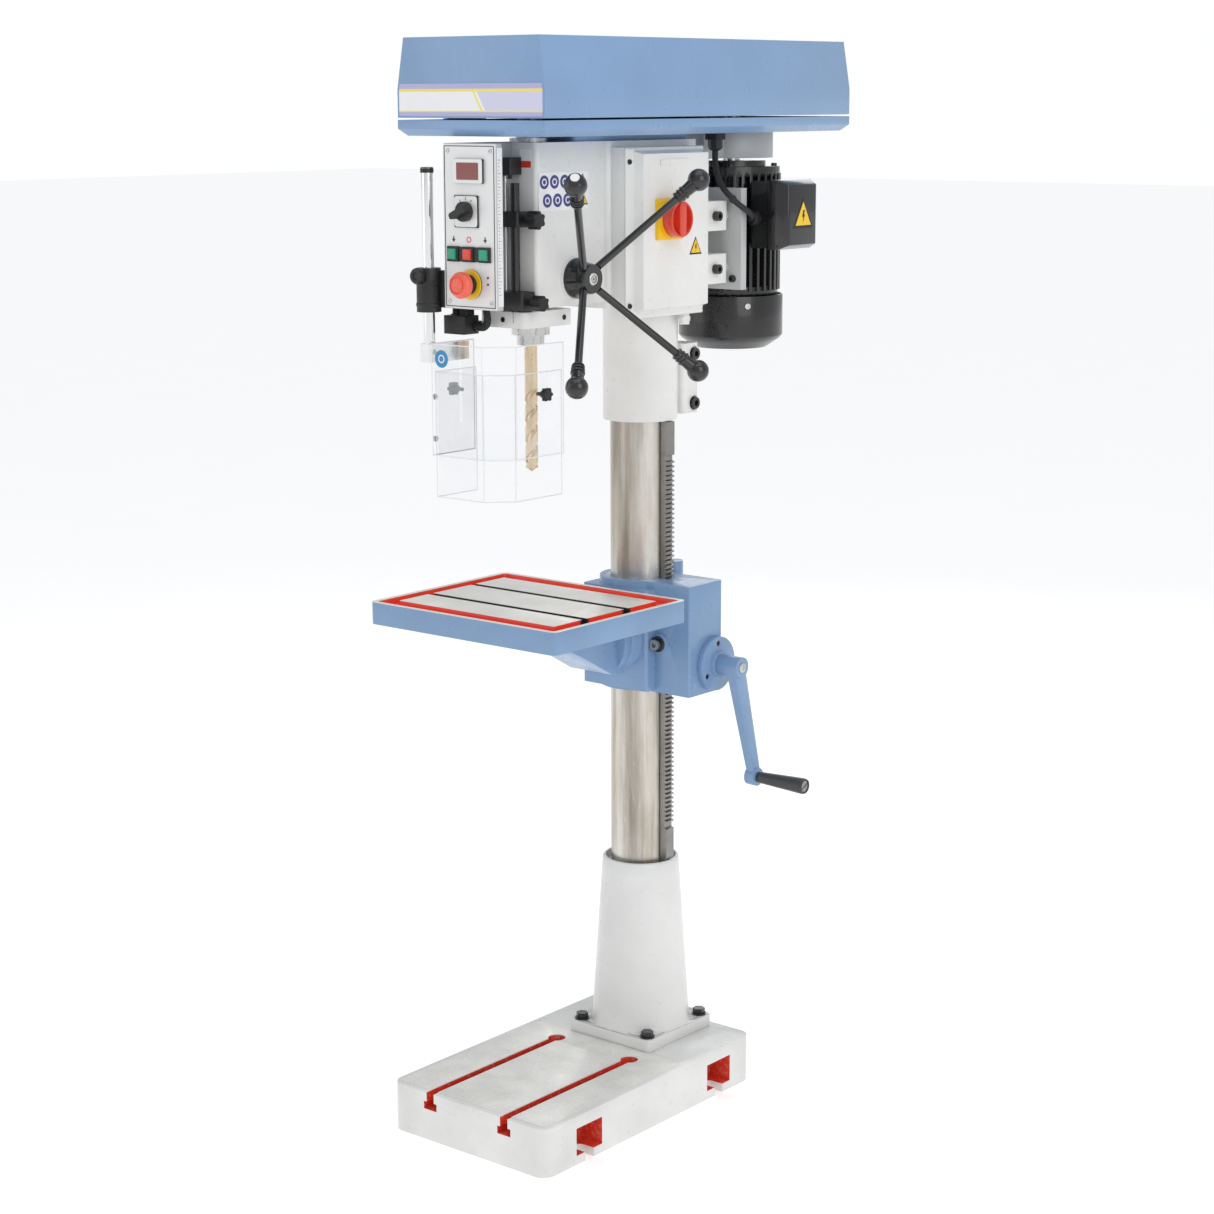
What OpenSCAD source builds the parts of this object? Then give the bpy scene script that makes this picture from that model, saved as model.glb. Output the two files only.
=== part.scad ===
// Floor-standing drill press with belt-driven head, rack-lifted tilting table and two-piece chuck guard.
// Origin: column axis at floor level. +Z up, the operator stands at -Y, the feed handles are on +X.

/* [Base and column] */
// Width of the base casting
base_w = 333; // [300:1:360]
// Distance from the column axis to the front edge of the base
base_front = 448; // [430:1:470]
// Distance from the column axis to the rear edge of the base
base_rear = 98; // [94:1:120]
// Height of the painted top of the base
base_h = 81.6; // [78:0.2:90]
// Height of the machined pad above the painted top
pad_h = 1; // [0.5:0.5:1]
// Radius of the column
column_r = 50; // [50:1:50]
// Height of the rim of the conical column socket
socket_top = 396.5; // [380:0.5:400]

/* [Table] */
// Half width of the tilting table
table_hw = 194; // [180:1:194]
// Height of the machined table surface
table_top = 882.5; // [882.5:0.5:884]
// Height of the table's rim
table_h = 35.5; // [34:0.5:36]
// Height of the tilt axis
tilt_z = 790; // [788:1:790]

/* [Head] */
// Position of the spindle axis in front of the column
spindle_y = -274; // [-274:1:-274]
// Radius of the quill
quill_r = 30; // [30:1:30]
// Height of the feed shaft
feed_z = 1392; // [1388:1:1394]
// Height of the underside of the head
head_bottom = 1350; // [1350:1:1352]
// Height of the top of the head
head_top = 1600; // [1600:1:1604]
// Distance of the motor shaft behind the column axis
motor_y = 248; // [248:1:250]

/* [Belt guard] */
// Half width of the belt guard
cover_hw = 149; // [145:1:152]
// Front edge of the belt guard
cover_front = -408; // [-410:1:-400]
// Rear edge of the belt guard
cover_rear = 381; // [376:1:385]
// Top of the belt guard
cover_top = 1757; // [1755:1:1765]
// Sheet thickness of the belt guard
sheet = 2.5; // [2:0.5:3]

/* [Chuck guard] */
// Wall thickness of the clear guards
guard_t = 3; // [3:0.5:3]
// Top of the upper guard
guard_top = 1298; // [1296:1:1300]
// Bottom of the lower guard
guard_bottom = 1060; // [1060:1:1064]

/* [Hidden] */
$fn = 48;
eps = 0.5;
gap = 0.3;
run_fit = 0.05;
pressure_angle = 20;

off_white = [0.91, 0.91, 0.89];
blue = [0.48, 0.62, 0.79];
steel = [0.72, 0.71, 0.68];
black = [0.08, 0.08, 0.09];

base_hw = base_w / 2;
machined_top = base_h + pad_h;
pad_rear = -90;
flange_hw = 88;
flange_top = base_h + 20.8;
bolt_at = 72;
socket_foot_r = 83.4;
socket_rim_r = 65;
recess_r = 59.5;

// Table lift: rack on the column, pinion and worm wheel on one shaft, worm on the crank shaft
lift_module = 2.5;
rack_pitch_x = 62;
lift_teeth = 14;
wheel_teeth = 20;
lift_x = rack_pitch_x + lift_module * lift_teeth / 2;
lift_z = 783;
crank_y = 20;
worm_r = 11;
crank_z = lift_z - worm_r - lift_module * wheel_teeth / 2;
rack_back_x = column_r + 0.5;
rack_hw = 10;
bracket_bottom = 699;
bracket_top = 884;
block_x = 139;
block_front = -46;
block_rear = 42;
collar_r = 68;
boss_front = -98;
hub_end_x = 198;
eye = [208, 41, 560];
grip_start = 218;
grip_len = 95;

// Quill feed
feed_module = 2;
feed_teeth = 13;
quill_pitch_y = spindle_y + quill_r - 1.5;
feed_y = quill_pitch_y + feed_module * feed_teeth / 2;
nose_hw = 55;
nose_front = -320;
body_hw = 62;
body_front = -160;
body_rear = 75;
quill_bottom = 1305;
quill_top = 1560;
knob_x = 183.5;
knob_rho = 210;
spoke_x = 84;
spoke_rho = 18;
stop_x = 25;
stop_y = -336;

// Belt drive: five-step pulleys, one pair of steps in use
step_r = [102, 89, 76, 63, 50];
step_h = 17;
pulley_z = 1650;
belt_step = 1;
belt_depth = 9;

post = [-84, -414];
slide_z = 1222;

// ---------- shared shapes ----------
module rrect(x0, x1, y0, y1, r) {
    translate([x0 + r, y0]) square([x1 - x0 - 2 * r, y1 - y0]);
    translate([x0, y0 + r]) square([x1 - x0, y1 - y0 - 2 * r]);
    for (x = [x0 + r, x1 - r], y = [y0 + r, y1 - r]) translate([x, y]) circle(r);
}

module slab(x, y, z, r = 0)
    translate([0, 0, z[0]]) linear_extrude(z[1] - z[0])
        if (r > 0) rrect(x[0], x[1], y[0], y[1], r);
        else translate([x[0], y[0]]) square([x[1] - x[0], y[1] - y[0]]);

module rod_x(r, x0, x1, y, z) translate([x0, y, z]) rotate([0, 90, 0]) cylinder(r = r, h = x1 - x0);
module rod_y(r, y0, y1, x, z) translate([x, y1, z]) rotate([90, 0, 0]) cylinder(r = r, h = y1 - y0);
module rod_z(r, z0, z1, x = 0, y = 0) translate([x, y, z0]) cylinder(r = r, h = z1 - z0);

module hex_bolt(r, head_h, shank) {
    translate([0, 0, 3]) cylinder(r = 1.75 * r, h = head_h, $fn = 6);
    cylinder(r = 2.1 * r, h = 3);
    translate([0, 0, -shank]) cylinder(r = r, h = shank + 1);
}

// Cap screw with a hexagon socket; head above z = 0, shank below
module cap_screw(r, shank) {
    difference() {
        cylinder(r = 1.6 * r, h = 2 * r);
        translate([0, 0, r]) cylinder(r = 0.9 * r, h = 2 * r, $fn = 6);
    }
    translate([0, 0, -shank]) cylinder(r = r, h = shank + r / 2);
}

// Star knob with six lobes around +Z
module star_knob(r, h) {
    cylinder(r = 0.78 * r, h = h);
    for (i = [0 : 5]) rotate(60 * i) translate([0.72 * r, 0, 0]) cylinder(r = 0.28 * r, h = h);
    translate([0, 0, -6]) cylinder(r = 0.5 * r, h = 7);
}

// ---------- gear outlines ----------
function roll(a) = tan(a) - a * PI / 180;
function half_tooth(r, rp, thick) =
    let (rb = rp * cos(pressure_angle), a = r > rb ? acos(rb / r) : 0)
    (thick / (2 * rp) + roll(pressure_angle) - roll(a)) * 180 / PI;
function tooth_radii(rp, add, ded) = [rp - ded, rp * cos(pressure_angle), rp, rp + add / 2, rp + add];
function gear_outline(m, teeth, add, ded, thick) =
    let (rp = m * teeth / 2, radii = tooth_radii(rp, add, ded))
    [for (i = [0 : teeth - 1], side = [-1, 1], k = [0 : 4])
        let (r = radii[side < 0 ? k : 4 - k], a = 360 * i / teeth + side * half_tooth(r, rp, thick))
        r * [cos(a), sin(a)]];
function rack_tooth(z, tip, root, pitch_x, half) =
    let (t = tan(pressure_angle))
    [[root, z - half - (pitch_x - root) * t], [tip, z - half + (tip - pitch_x) * t],
     [tip, z + half - (tip - pitch_x) * t], [root, z + half + (pitch_x - root) * t]];

// ---------- swept tubes ----------
function unit(v) = v / norm(v);
function spline(p, i, t) =
    let (n = len(p) - 1, a = p[max(i - 1, 0)], b = p[i], c = p[min(i + 1, n)], d = p[min(i + 2, n)])
    0.5 * (2 * b + (c - a) * t + (2 * a - 5 * b + 4 * c - d) * t * t + (3 * b - a - 3 * c + d) * t * t * t);
function smooth_path(p, n) = concat([for (i = [0 : len(p) - 2], k = [0 : n - 1]) spline(p, i, k / n)], [p[len(p) - 1]]);
module tube(points, r, per_span, sides = 10) {
    path = smooth_path(points, per_span);
    last = len(path) - 1;
    side = [1, 0.35, 0.1];
    rings = [for (i = [0 : last])
        let (t = unit(path[min(i + 1, last)] - path[max(i - 1, 0)]), u = unit(cross(t, side)), v = cross(t, u))
        for (k = [0 : sides - 1]) path[i] + r * (cos(360 * k / sides) * u + sin(360 * k / sides) * v)];
    walls = [for (i = [0 : last - 1], k = [0 : sides - 1])
        [i * sides + k, (i + 1) * sides + k, (i + 1) * sides + (k + 1) % sides, i * sides + (k + 1) % sides]];
    start_cap = [[for (k = [0 : sides - 1]) k]];
    end_cap = [[for (k = [sides - 1 : -1 : 0]) last * sides + k]];
    polyhedron(rings, concat(walls, start_cap, end_cap));
}

// ---------- base and column ----------
pocket_y = [-339.5, 4];
pocket_hw = 32;
pocket_depth = 42;
pocket_floor = 15;
pocket_top = 61;
t_slot_x = 80;
t_slot_end = -131;

module t_slot_cut() {
    slab([-8, 8], [-base_front - eps, t_slot_end], [machined_top - 18, machined_top + eps]);
    slab([-14, 14], [-base_front - eps, t_slot_end], [machined_top - 30, machined_top - 17]);
    rod_z(15, machined_top - 30, machined_top + eps, 0, t_slot_end);
}

module base_casting() color(off_white) {
    wall = 14;
    plate_bottom = machined_top - 42;
    inner = [-base_hw + wall, base_hw - wall];
    difference() {
        union() {
            difference() {
                union() {
                    slab([-base_hw, base_hw], [-base_front, base_rear], [0, base_h], 22);
                    slab([-158, 158], [-base_front + 10, pad_rear], [base_h - 1, machined_top], 8);
                }
                slab(inner, [-base_front + wall, base_rear - wall], [-eps, plate_bottom], 10);
            }
            // Stiffening ribs inside the hollow underside, crossing below the column
            for (x = [-80, 0, 80]) slab([x - 7, x + 7], [-base_front + 5, base_rear - 5], [0, plate_bottom + 1]);
            for (y = [-260, -130, 0]) slab(inner, [y - 7, y + 7], [0, plate_bottom + 1]);
            for (s = [-1, 1], y = pocket_y) slab(
                s > 0 ? [base_hw - pocket_depth - 10, base_hw - 2] : [-base_hw + 2, -base_hw + pocket_depth + 10],
                [y - pocket_hw - 10, y + pocket_hw + 10], [0, pocket_top + 6]);
        }
        for (s = [-1, 1]) translate([s * t_slot_x, 0, 0]) t_slot_cut();
        for (s = [-1, 1], y = pocket_y) {
            slab(s > 0 ? [base_hw - pocket_depth, base_hw + eps] : [-base_hw - eps, -base_hw + pocket_depth],
                [y - pocket_hw, y + pocket_hw], [pocket_floor, pocket_top]);
            rod_z(11, -eps, pocket_floor + eps, s * (base_hw - 20), y);
            slab(s > 0 ? [base_hw - 20, base_hw + eps] : [-base_hw - eps, -base_hw + 20],
                [y - 11, y + 11], [-eps, pocket_floor + eps]);
        }
        for (x = [-bolt_at, bolt_at], y = [-bolt_at, bolt_at]) rod_z(6.2, base_h - 36, base_h + eps, x, y);
    }
}

module column_socket() color(off_white) difference() {
    union() {
        slab([-flange_hw, flange_hw], [-flange_hw, flange_hw], [base_h, flange_top], 8);
        rotate_extrude() polygon([
            [0, flange_top - 1], [socket_foot_r + 3, flange_top - 1], [socket_foot_r + 3, flange_top + 2],
            [socket_foot_r, flange_top + 9], [socket_rim_r, socket_top - 3], [socket_rim_r - 2, socket_top],
            [0, socket_top]]);
    }
    rod_z(column_r + run_fit, base_h - eps, socket_top + eps);
    rod_z(recess_r, socket_top - 13, socket_top + eps);
    for (x = [-bolt_at, bolt_at], y = [-bolt_at, bolt_at]) rod_z(7, base_h - eps, flange_top + eps, x, y);
}

module frame_bolts() color(black) {
    for (x = [-bolt_at, bolt_at], y = [-bolt_at, bolt_at]) translate([x, y, flange_top]) rotate(x + y / 3) hex_bolt(6, 8, 50);
    // Clamp screws of the head's split collar
    for (z = [1168, 1250]) translate([clamp_lug[1] - 7, clamp_y, z]) rotate([0, 90, 0]) cap_screw(6, 34);
    // Locking screws of the motor slide bars
    for (z = bar_z) translate([bar_lug[1], 86, z]) rotate([0, 90, 0]) cap_screw(5, 6);
}

module column() color(steel) difference() {
    rod_z(column_r, base_h, 1500);
    rod_z(column_r - 8, base_h - eps, 1500 + eps);
}

rack_bottom = socket_top + 1;
rack_top = 1145;
rack_teeth_from = 458;
rack_teeth_to = 1080;

module rack() color(steel) {
    pitch = PI * lift_module;
    half = pitch / 4 - 0.16;
    root = rack_pitch_x - 2.6;
    tip = rack_pitch_x + 2;
    low = ceil((rack_teeth_from - lift_z) / pitch);
    high = floor((rack_teeth_to - lift_z) / pitch);
    teeth = [for (i = [low : high]) each rack_tooth(lift_z + (i + 0.5) * pitch, tip, root, rack_pitch_x, half)];
    outline = concat(
        [[rack_back_x, rack_bottom], [tip - 4, rack_bottom], [tip, rack_bottom + 6], [tip, rack_teeth_from - 6],
         [root, rack_teeth_from - 4]], teeth,
        [[root, rack_teeth_to + 8], [tip, rack_teeth_to + 10], [tip, rack_top], [rack_back_x, rack_top]]);
    translate([0, rack_hw, 0]) rotate([90, 0, 0]) linear_extrude(2 * rack_hw) polygon(outline);
    slab([rack_back_x, 57], [-8, 8], [socket_top - 12, rack_bottom + 1]);
    slab([rack_back_x, 57], [-8, 8], [rack_top - 1, 1158]);
}

// ---------- table bracket and lift ----------
module table_bracket() color(blue) difference() {
    union() {
        rod_z(collar_r, bracket_bottom, bracket_top);
        slab([0, block_x], [block_front, block_rear], [bracket_bottom, bracket_top], 3);
        slab([-collar_r, collar_r], [-70, 0], [bracket_bottom + 4, bracket_top - 12], 6);
        rod_y(60, boss_front + gap, -20, 0, tilt_z);
        slab([-34, 34], [40, 96], [720, bracket_top - 20], 8);
        rod_z(15, bracket_top - 25, bracket_top + 14, 14, 74);
        rod_y(16, block_front - 7, block_front + 2, lift_x, lift_z);
        // Pin that the table tilts about
        rod_y(10, -114, boss_front + 2, 0, tilt_z);
    }
    rod_z(column_r + 2 * run_fit, bracket_bottom - eps, bracket_top + eps);
    slab([0, rack_pitch_x + 4], [-rack_hw - 0.4, rack_hw + 0.4], [bracket_bottom - eps, bracket_top + eps]);
    slab([-3, 3], [40, 97], [bracket_bottom - eps, bracket_top + 20]);
    // Gear chamber and its shaft bores
    slab([52.5, 110], [-12, 34.5], [730, 816]);
    rod_y(8 + run_fit, -34, block_rear + eps, lift_x, lift_z);
    rod_y(6.1, block_front - 10, -30, lift_x, lift_z);
    rod_x(16, 108, block_x + eps, crank_y, crank_z);
    // Clamp bolt
    rod_x(8 + gap, -40, 40, 82, 790);
}

module crank_bearing() color(blue) difference() {
    union() {
        rod_x(45, block_x, block_x + 10, crank_y, crank_z);
        rod_x(22, block_x + 9, block_x + 17, crank_y, crank_z);
        rod_x(15.95, 108.5, block_x + 1, crank_y, crank_z);
    }
    rod_x(9 + run_fit, 100, block_x + 20, crank_y, crank_z);
    for (a = [90, 210, 330]) translate([block_x + 4, crank_y, crank_z]) rotate([a, 0, 0]) translate([0, 34, 0])
        rotate([0, 90, 0]) cylinder(r = 5, h = 10);
}

module crank_shaft() color(steel) {
    pitch = PI * lift_module;
    rod_x(8.5, 66, 100, crank_y, crank_z);
    rod_x(9, 99, hub_end_x - 6, crank_y, crank_z);
    translate([lift_x, crank_y, crank_z]) rotate([0, 90, 0])
        linear_extrude(3 * pitch, center = true, twist = -1080, slices = 27) translate([-2.2, 0]) circle(worm_r, $fn = 10);
}

module crank_arm() color(blue) difference() {
    union() {
        rod_x(17, block_x + 18, hub_end_x, crank_y, crank_z);
        hull() {
            rod_x(15, 176, 192, crank_y, crank_z, $fn = 32);
            rod_x(10, eye[0] - 6, eye[0] + 6, eye[1], eye[2] + 6, $fn = 32);
        }
        rod_x(15, eye[0] - 9, eye[0] + 9, eye[1], eye[2]);
    }
    rod_x(9 + run_fit, block_x + 10, hub_end_x - 5, crank_y, crank_z);
    rod_x(4, hub_end_x - 6, hub_end_x + eps, crank_y, crank_z);
    rod_x(6 + run_fit, eye[0] - 12, eye[0] + 12, eye[1], eye[2]);
}

module grip_screw() color(steel) {
    end = grip_start + grip_len;
    rod_x(6, eye[0] - 8, grip_start, eye[1], eye[2]);
    rod_x(5, grip_start - 1, end - 6, eye[1], eye[2]);
    difference() {
        rod_x(9, end - 6, end - 2, eye[1], eye[2]);
        translate([end - 4, eye[1], eye[2]]) rotate([25, 0, 0]) translate([0, -12, -1]) cube([4, 24, 2]);
    }
}

module crank_grip() color([0.2, 0.2, 0.21]) translate([grip_start + gap, eye[1], eye[2]]) rotate([0, 90, 0])
    rotate_extrude() polygon([
        [5.1, 0], [8.5, 0], [9.5, 6], [13, grip_len - 12], [13.3, grip_len - 6], [12.2, grip_len - 1],
        [9.4, grip_len - 1], [9.4, grip_len - 6.6], [5.1, grip_len - 6.6]]);

module lift_shaft() color(steel) {
    rod_y(8, -33.5, 40, lift_x, lift_z);
    translate([lift_x, 9.5, lift_z]) rotate([90, 0, 0]) linear_extrude(19)
        polygon(gear_outline(lift_module, lift_teeth, 2.2, 2.4, PI * lift_module / 2 - 0.32));
    translate([lift_x, block_front - 7 - gap, lift_z]) rotate([90, 0, 0]) cap_screw(5.5, 20);
}

module worm_wheel() color([0.72, 0.55, 0.25]) translate([lift_x, 24, lift_z]) rotate([90, 0, 0]) {
    rp = lift_module * wheel_teeth / 2;
    difference() {
        union() {
            linear_extrude(8) polygon([for (i = [0 : wheel_teeth - 1], k = [0 : 3])
                let (half = k == 1 || k == 2 ? 1.1 : 3.1, a = 360 * i / wheel_teeth + (k < 2 ? -half : half),
                     r = k == 1 || k == 2 ? rp + 1.4 : rp - 2.4) r * [cos(a), sin(a)]]);
            translate([0, 0, -3]) cylinder(r = 14, h = 14);
        }
        translate([0, 0, -5]) cylinder(r = 8.02, h = 20);
    }
}

module lock_lever() color(black) {
    rod_x(7.9, -36, 46, 82, 790);
    rod_x(13, -48, -35, 82, 790);
    translate([-43, 82, 790]) rotate([-60, 0, 0]) {
        translate([0, 0, 4]) cylinder(r = 5, h = 84);
        translate([0, 0, 98]) sphere(r = 13);
    }
    translate([34.3, 82, 790]) rotate([0, 90, 0]) cylinder(r = 13, h = 12, $fn = 6);
}

// ---------- table ----------
gutter_hw = table_hw - 9;
pad_hw = 162;
table_front = -448;
table_rear = -124;
slot_y = [-340, -238];

module tilt_pin_bore() rod_y(10 + run_fit, -120, boss_front + 1, 0, tilt_z);

module work_table() color(blue) difference() {
    union() {
        difference() {
            slab([-table_hw, table_hw], [table_front, table_rear], [table_top - table_h, table_top], 12);
            // Coolant gutter all round
            difference() {
                slab([-gutter_hw, gutter_hw], [table_front + 9, table_rear - 9], [table_top - 9, table_top + eps], 6);
                slab([-pad_hw, pad_hw], [table_front + 36, table_rear - 38], [table_top - 10, table_top + 1], 1);
            }
            // Hollow underside
            slab([-table_hw + 14, table_hw - 14], [table_front + 14, table_rear - 14],
                [table_top - table_h - eps, table_top - 26], 8);
        }
        for (x = [-100, 100]) slab([x - 5, x + 5], [table_front + 10, table_rear - 10],
            [table_top - table_h + 1, table_top - 25]);
        for (y = [-290, -200]) slab([-table_hw + 10, table_hw - 10], [y - 5, y + 5],
            [table_top - table_h + 1, table_top - 25]);
        // Arm from the tilt flange to the underside of the table
        rod_y(60, boss_front - 18, boss_front, 0, tilt_z);
        translate([-44, 0, 0]) rotate([90, 0, 90]) linear_extrude(88) polygon([
            [boss_front - 1, 738], [boss_front - 1, 842], [table_rear - 4, table_top - 27], [-350, table_top - 27],
            [-350, table_top - table_h + 4], [-205, 782], [-130, 740]]);
    }
    for (y = slot_y) {
        slab([-176, 176], [y - 6, y + 6], [table_top - 13, table_top + eps]);
        slab([-176, 176], [y - 10, y + 10], [table_top - 21, table_top - 12]);
    }
    tilt_pin_bore();
}

// ---------- head ----------
clamp_lug = [22, 52];
clamp_y = 78;
bar_z = [1390, 1476];
bar_lug = [52, 88];
bar_x = 72;

module head_casting() color(off_white) difference() {
    union() {
        slab([-nose_hw, nose_hw], [nose_front, body_front + 20], [head_bottom, head_top], 8);
        slab([-body_hw, body_hw], [body_front, body_rear], [1340, head_top], 12);
        rod_z(body_hw - 0.2, 1146.5, 1350);
        // Split clamp at the rear of the collar, right-hand side
        slab([-clamp_lug[1] + 20, clamp_lug[1]], [50, 92], [1152, 1268], 8);
        // Lugs that carry the motor slide bars
        for (s = [-1, 1], z = bar_z) slab(s > 0 ? bar_lug : [-bar_lug[1], -bar_lug[0]], [52, 120], [z - 24, z + 24], 5);
        // Round facing for the feed hub
        rod_x(34, nose_hw - 1, nose_hw + 4, feed_y, feed_z);
    }
    rod_z(column_r + run_fit, 1140, 1500 + eps);
    rod_z(recess_r, 1146, 1162);
    slab([8, 12], [50, 93], [1146, 1274]);
    for (z = [1168, 1250]) {
        rod_x(6.5, -40, clamp_lug[1] + 1, clamp_y, z);
        rod_x(12, clamp_lug[1] - 7, clamp_lug[1] + 1, clamp_y, z);
    }
    rod_z(quill_r + run_fit, head_bottom - eps, head_top + eps, 0, spindle_y);
    rod_x(16, -16, 18, feed_y, feed_z);
    rod_x(11 + run_fit, -nose_hw - eps, nose_hw + 5, feed_y, feed_z);
    slab([-42, 42], [-205, -100], [1364, head_top + eps], 10);
    for (s = [-1, 1], z = bar_z) rod_y(10 + run_fit, 40, 121, s * bar_x, z);
    for (z = bar_z) rod_x(5.1, bar_lug[1] - 9, bar_lug[1] + 1, 86, z);
}

module spring_case() color(black) difference() {
    union() {
        rod_x(40, -nose_hw - 24, -nose_hw, feed_y, feed_z);
        rod_x(12, -nose_hw - 32, -nose_hw - 23, feed_y, feed_z);
    }
    rod_x(36, -nose_hw - 21, -nose_hw + eps, feed_y, feed_z);
}

// Flat spiral spring that lifts the quill
spring_steps = 100;
function spring_point(k, d) = (13 + 20 * k / spring_steps + d) * [cos(18 * k), sin(18 * k)];
module return_spring() color(steel) translate([-nose_hw - 18, feed_y, feed_z]) rotate([0, 90, 0])
    linear_extrude(14) polygon(concat([for (k = [0 : spring_steps]) spring_point(k, 0)],
        [for (k = [spring_steps : -1 : 0]) spring_point(k, 1.2)]));

module feed_shaft() color(steel) {
    rod_x(11, -nose_hw - 17, 89.8, feed_y, feed_z);
    translate([-13, feed_y, feed_z]) rotate([0, 90, 0]) linear_extrude(26) rotate(-90)
        polygon(gear_outline(feed_module, feed_teeth, 1.8, 2.0, PI - 0.3));
}

function spoke_end(a, rho, x) = [x, feed_y + rho * cos(a), feed_z + rho * sin(a)];
spoke_angles = [45, 135, 225, 315];
tap_angle = 135;

module feed_hub() color(black) difference() {
    translate([nose_hw + 4 + gap, feed_y, feed_z]) rotate([0, 90, 0]) rotate_extrude() polygon([
        [0, 0], [31.5, 0], [31.5, 4], [29, 9], [25, 20], [23.5, 31], [22, 34], [0, 34]]);
    rod_x(11.02, nose_hw, 90, feed_y, feed_z);
    rod_x(7, 88, 95, feed_y, feed_z);
}

// A cylinder from point a to point b
module bar(a, b, r1, r2) {
    d = b - a;
    translate(a) rotate([0, acos(d[2] / norm(d)), atan2(d[1], d[0])]) cylinder(r1 = r1, r2 = r2, h = norm(d));
}

module along_spoke(a, t) {
    p = spoke_end(a, spoke_rho, spoke_x);
    q = spoke_end(a, knob_rho, knob_x);
    d = q - p;
    translate(p + t * d) rotate([0, acos(d[2] / norm(d)), atan2(d[1], d[0])]) children();
}

module feed_spokes() color(black) for (a = spoke_angles) difference() {
    bar(spoke_end(a, spoke_rho, spoke_x), spoke_end(a, knob_rho, knob_x), 6, 6);
    rod_x(24.5, nose_hw, nose_hw + 40, feed_y, feed_z);
}

module feed_knobs() color(black) for (a = spoke_angles) difference() {
    union() {
        along_spoke(a, 1) sphere(r = 17.5);
        along_spoke(a, 1) translate([0, 0, -46]) cylinder(r1 = 8.5, r2 = 11, h = 36);
    }
    along_spoke(a, 0.5) cylinder(r = 6.02, h = 109);
    if (a == tap_angle) along_spoke(a, 1) translate([0, 0, 5]) cylinder(r = 7 + gap, h = 20);
}

module tap_button() color([0.75, 0.76, 0.75]) along_spoke(tap_angle, 1) translate([0, 0, 8.5]) cylinder(r = 7, h = 11);

module quill() color(steel) difference() {
    rod_z(quill_r, quill_bottom, quill_top, 0, spindle_y);
    rod_z(21, quill_bottom - eps, quill_top + eps, 0, spindle_y);
    rod_z(26, quill_bottom + 3, quill_bottom + 19, 0, spindle_y);
    rod_z(26, quill_top - 16, quill_top + eps, 0, spindle_y);
    pitch = PI * feed_module;
    for (i = [-2 : 17]) translate([-15, 0, feed_z + i * pitch]) rotate([90, 0, 90]) linear_extrude(30) polygon([
        [quill_pitch_y - 2.1, -0.9], [quill_pitch_y + 4, -0.9 - 6.1 * tan(pressure_angle)],
        [quill_pitch_y + 4, 0.9 + 6.1 * tan(pressure_angle)], [quill_pitch_y - 2.1, 0.9]]);
}

module ring(r0, r1, z0, z1) translate([0, spindle_y, z0]) difference() {
    cylinder(r = r1, h = z1 - z0);
    translate([0, 0, -eps]) cylinder(r = r0, h = z1 - z0 + 2 * eps);
    for (z = [-0.01, z1 - z0 - 1]) translate([0, 0, z]) difference() {
        cylinder(r = r1 - 2, h = 1.01);
        translate([0, 0, -1]) cylinder(r = r0 + 2, h = 3);
    }
}

module quill_bearings() color([0.8, 0.8, 0.8]) {
    ring(17 + run_fit, 25.98, quill_bottom + 3, quill_bottom + 19);
    ring(17 + run_fit, 25.98, quill_top - 16, quill_top);
}

module quill_clamp() color(off_white) difference() {
    slab([-45, 50], [-343, spindle_y + 44], [1320, 1345], 10);
    rod_z(quill_r + 0.02, 1319, 1346, 0, spindle_y);
    rod_z(7.02, 1328, 1346, stop_x, stop_y);
    slab([-46, -25], [spindle_y - 2, spindle_y + 2], [1319, 1346]);
    rod_y(6, -344, -337, -33, 1332);
}

module stop_rod() color(black) rod_z(7, 1328, 1540, stop_x, stop_y);

module depth_stop() color(black) difference() {
    union() {
        slab([6.5, 44], [-353, -321], [1474, 1497], 5);
        translate([54, stop_y, 1485]) rotate([0, 90, 0]) star_knob(14, 20);
        rod_x(5, 43, 56, stop_y, 1485);
    }
    rod_z(7 + run_fit, 1470, 1500, stop_x, stop_y);
}

module rod_guide() color(black) difference() {
    union() {
        slab([10, 52], [-353, nose_front], [1348, 1376], 5);
        translate([62, stop_y, 1360]) rotate([0, 90, 0]) star_knob(12, 20);
        rod_x(5, 51, 64, stop_y, 1360);
    }
    rod_z(7 + run_fit, 1340, 1380, stop_x, stop_y);
}

module limit_switch() color(black) {
    slab([5.2, 26], [-348, nose_front], [1552, 1578], 3);
    rod_z(3, 1546, 1553, 15, -336);
}

spline_r = 11;
module spline_outline(grow) {
    circle(spline_r + grow);
    for (i = [0 : 5]) rotate(60 * i) translate([0, -2.5 - grow]) square([spline_r + 2.5 + grow, 5 + 2 * grow]);
}

module spindle() color(steel) difference() {
    union() {
        rod_z(21.5, 1289, quill_bottom - gap, 0, spindle_y);
        rod_z(17, 1300, quill_top + 1, 0, spindle_y);
        translate([0, spindle_y, quill_top]) linear_extrude(172) spline_outline(0);
    }
    translate([0, spindle_y, 1288]) cylinder(r1 = 12, r2 = 9, h = 80);
}

module drill_bit() color([0.8, 0.65, 0.35]) translate([0, spindle_y, 0]) {
    translate([0, 0, 1089]) cylinder(r1 = 0.6, r2 = 9.6, h = 6.5);
    translate([0, 0, 1095]) linear_extrude(125, twist = -700, slices = 36) difference() {
        circle(10, $fn = 14);
        for (s = [-1, 1]) translate([s * 9.4, s * 1.5]) circle(5.6, $fn = 8);
    }
    translate([0, 0, 1219]) cylinder(r = 10, h = 72);
    translate([0, 0, 1290]) cylinder(r1 = 11.7, r2 = 9.2, h = 70);
}

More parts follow.
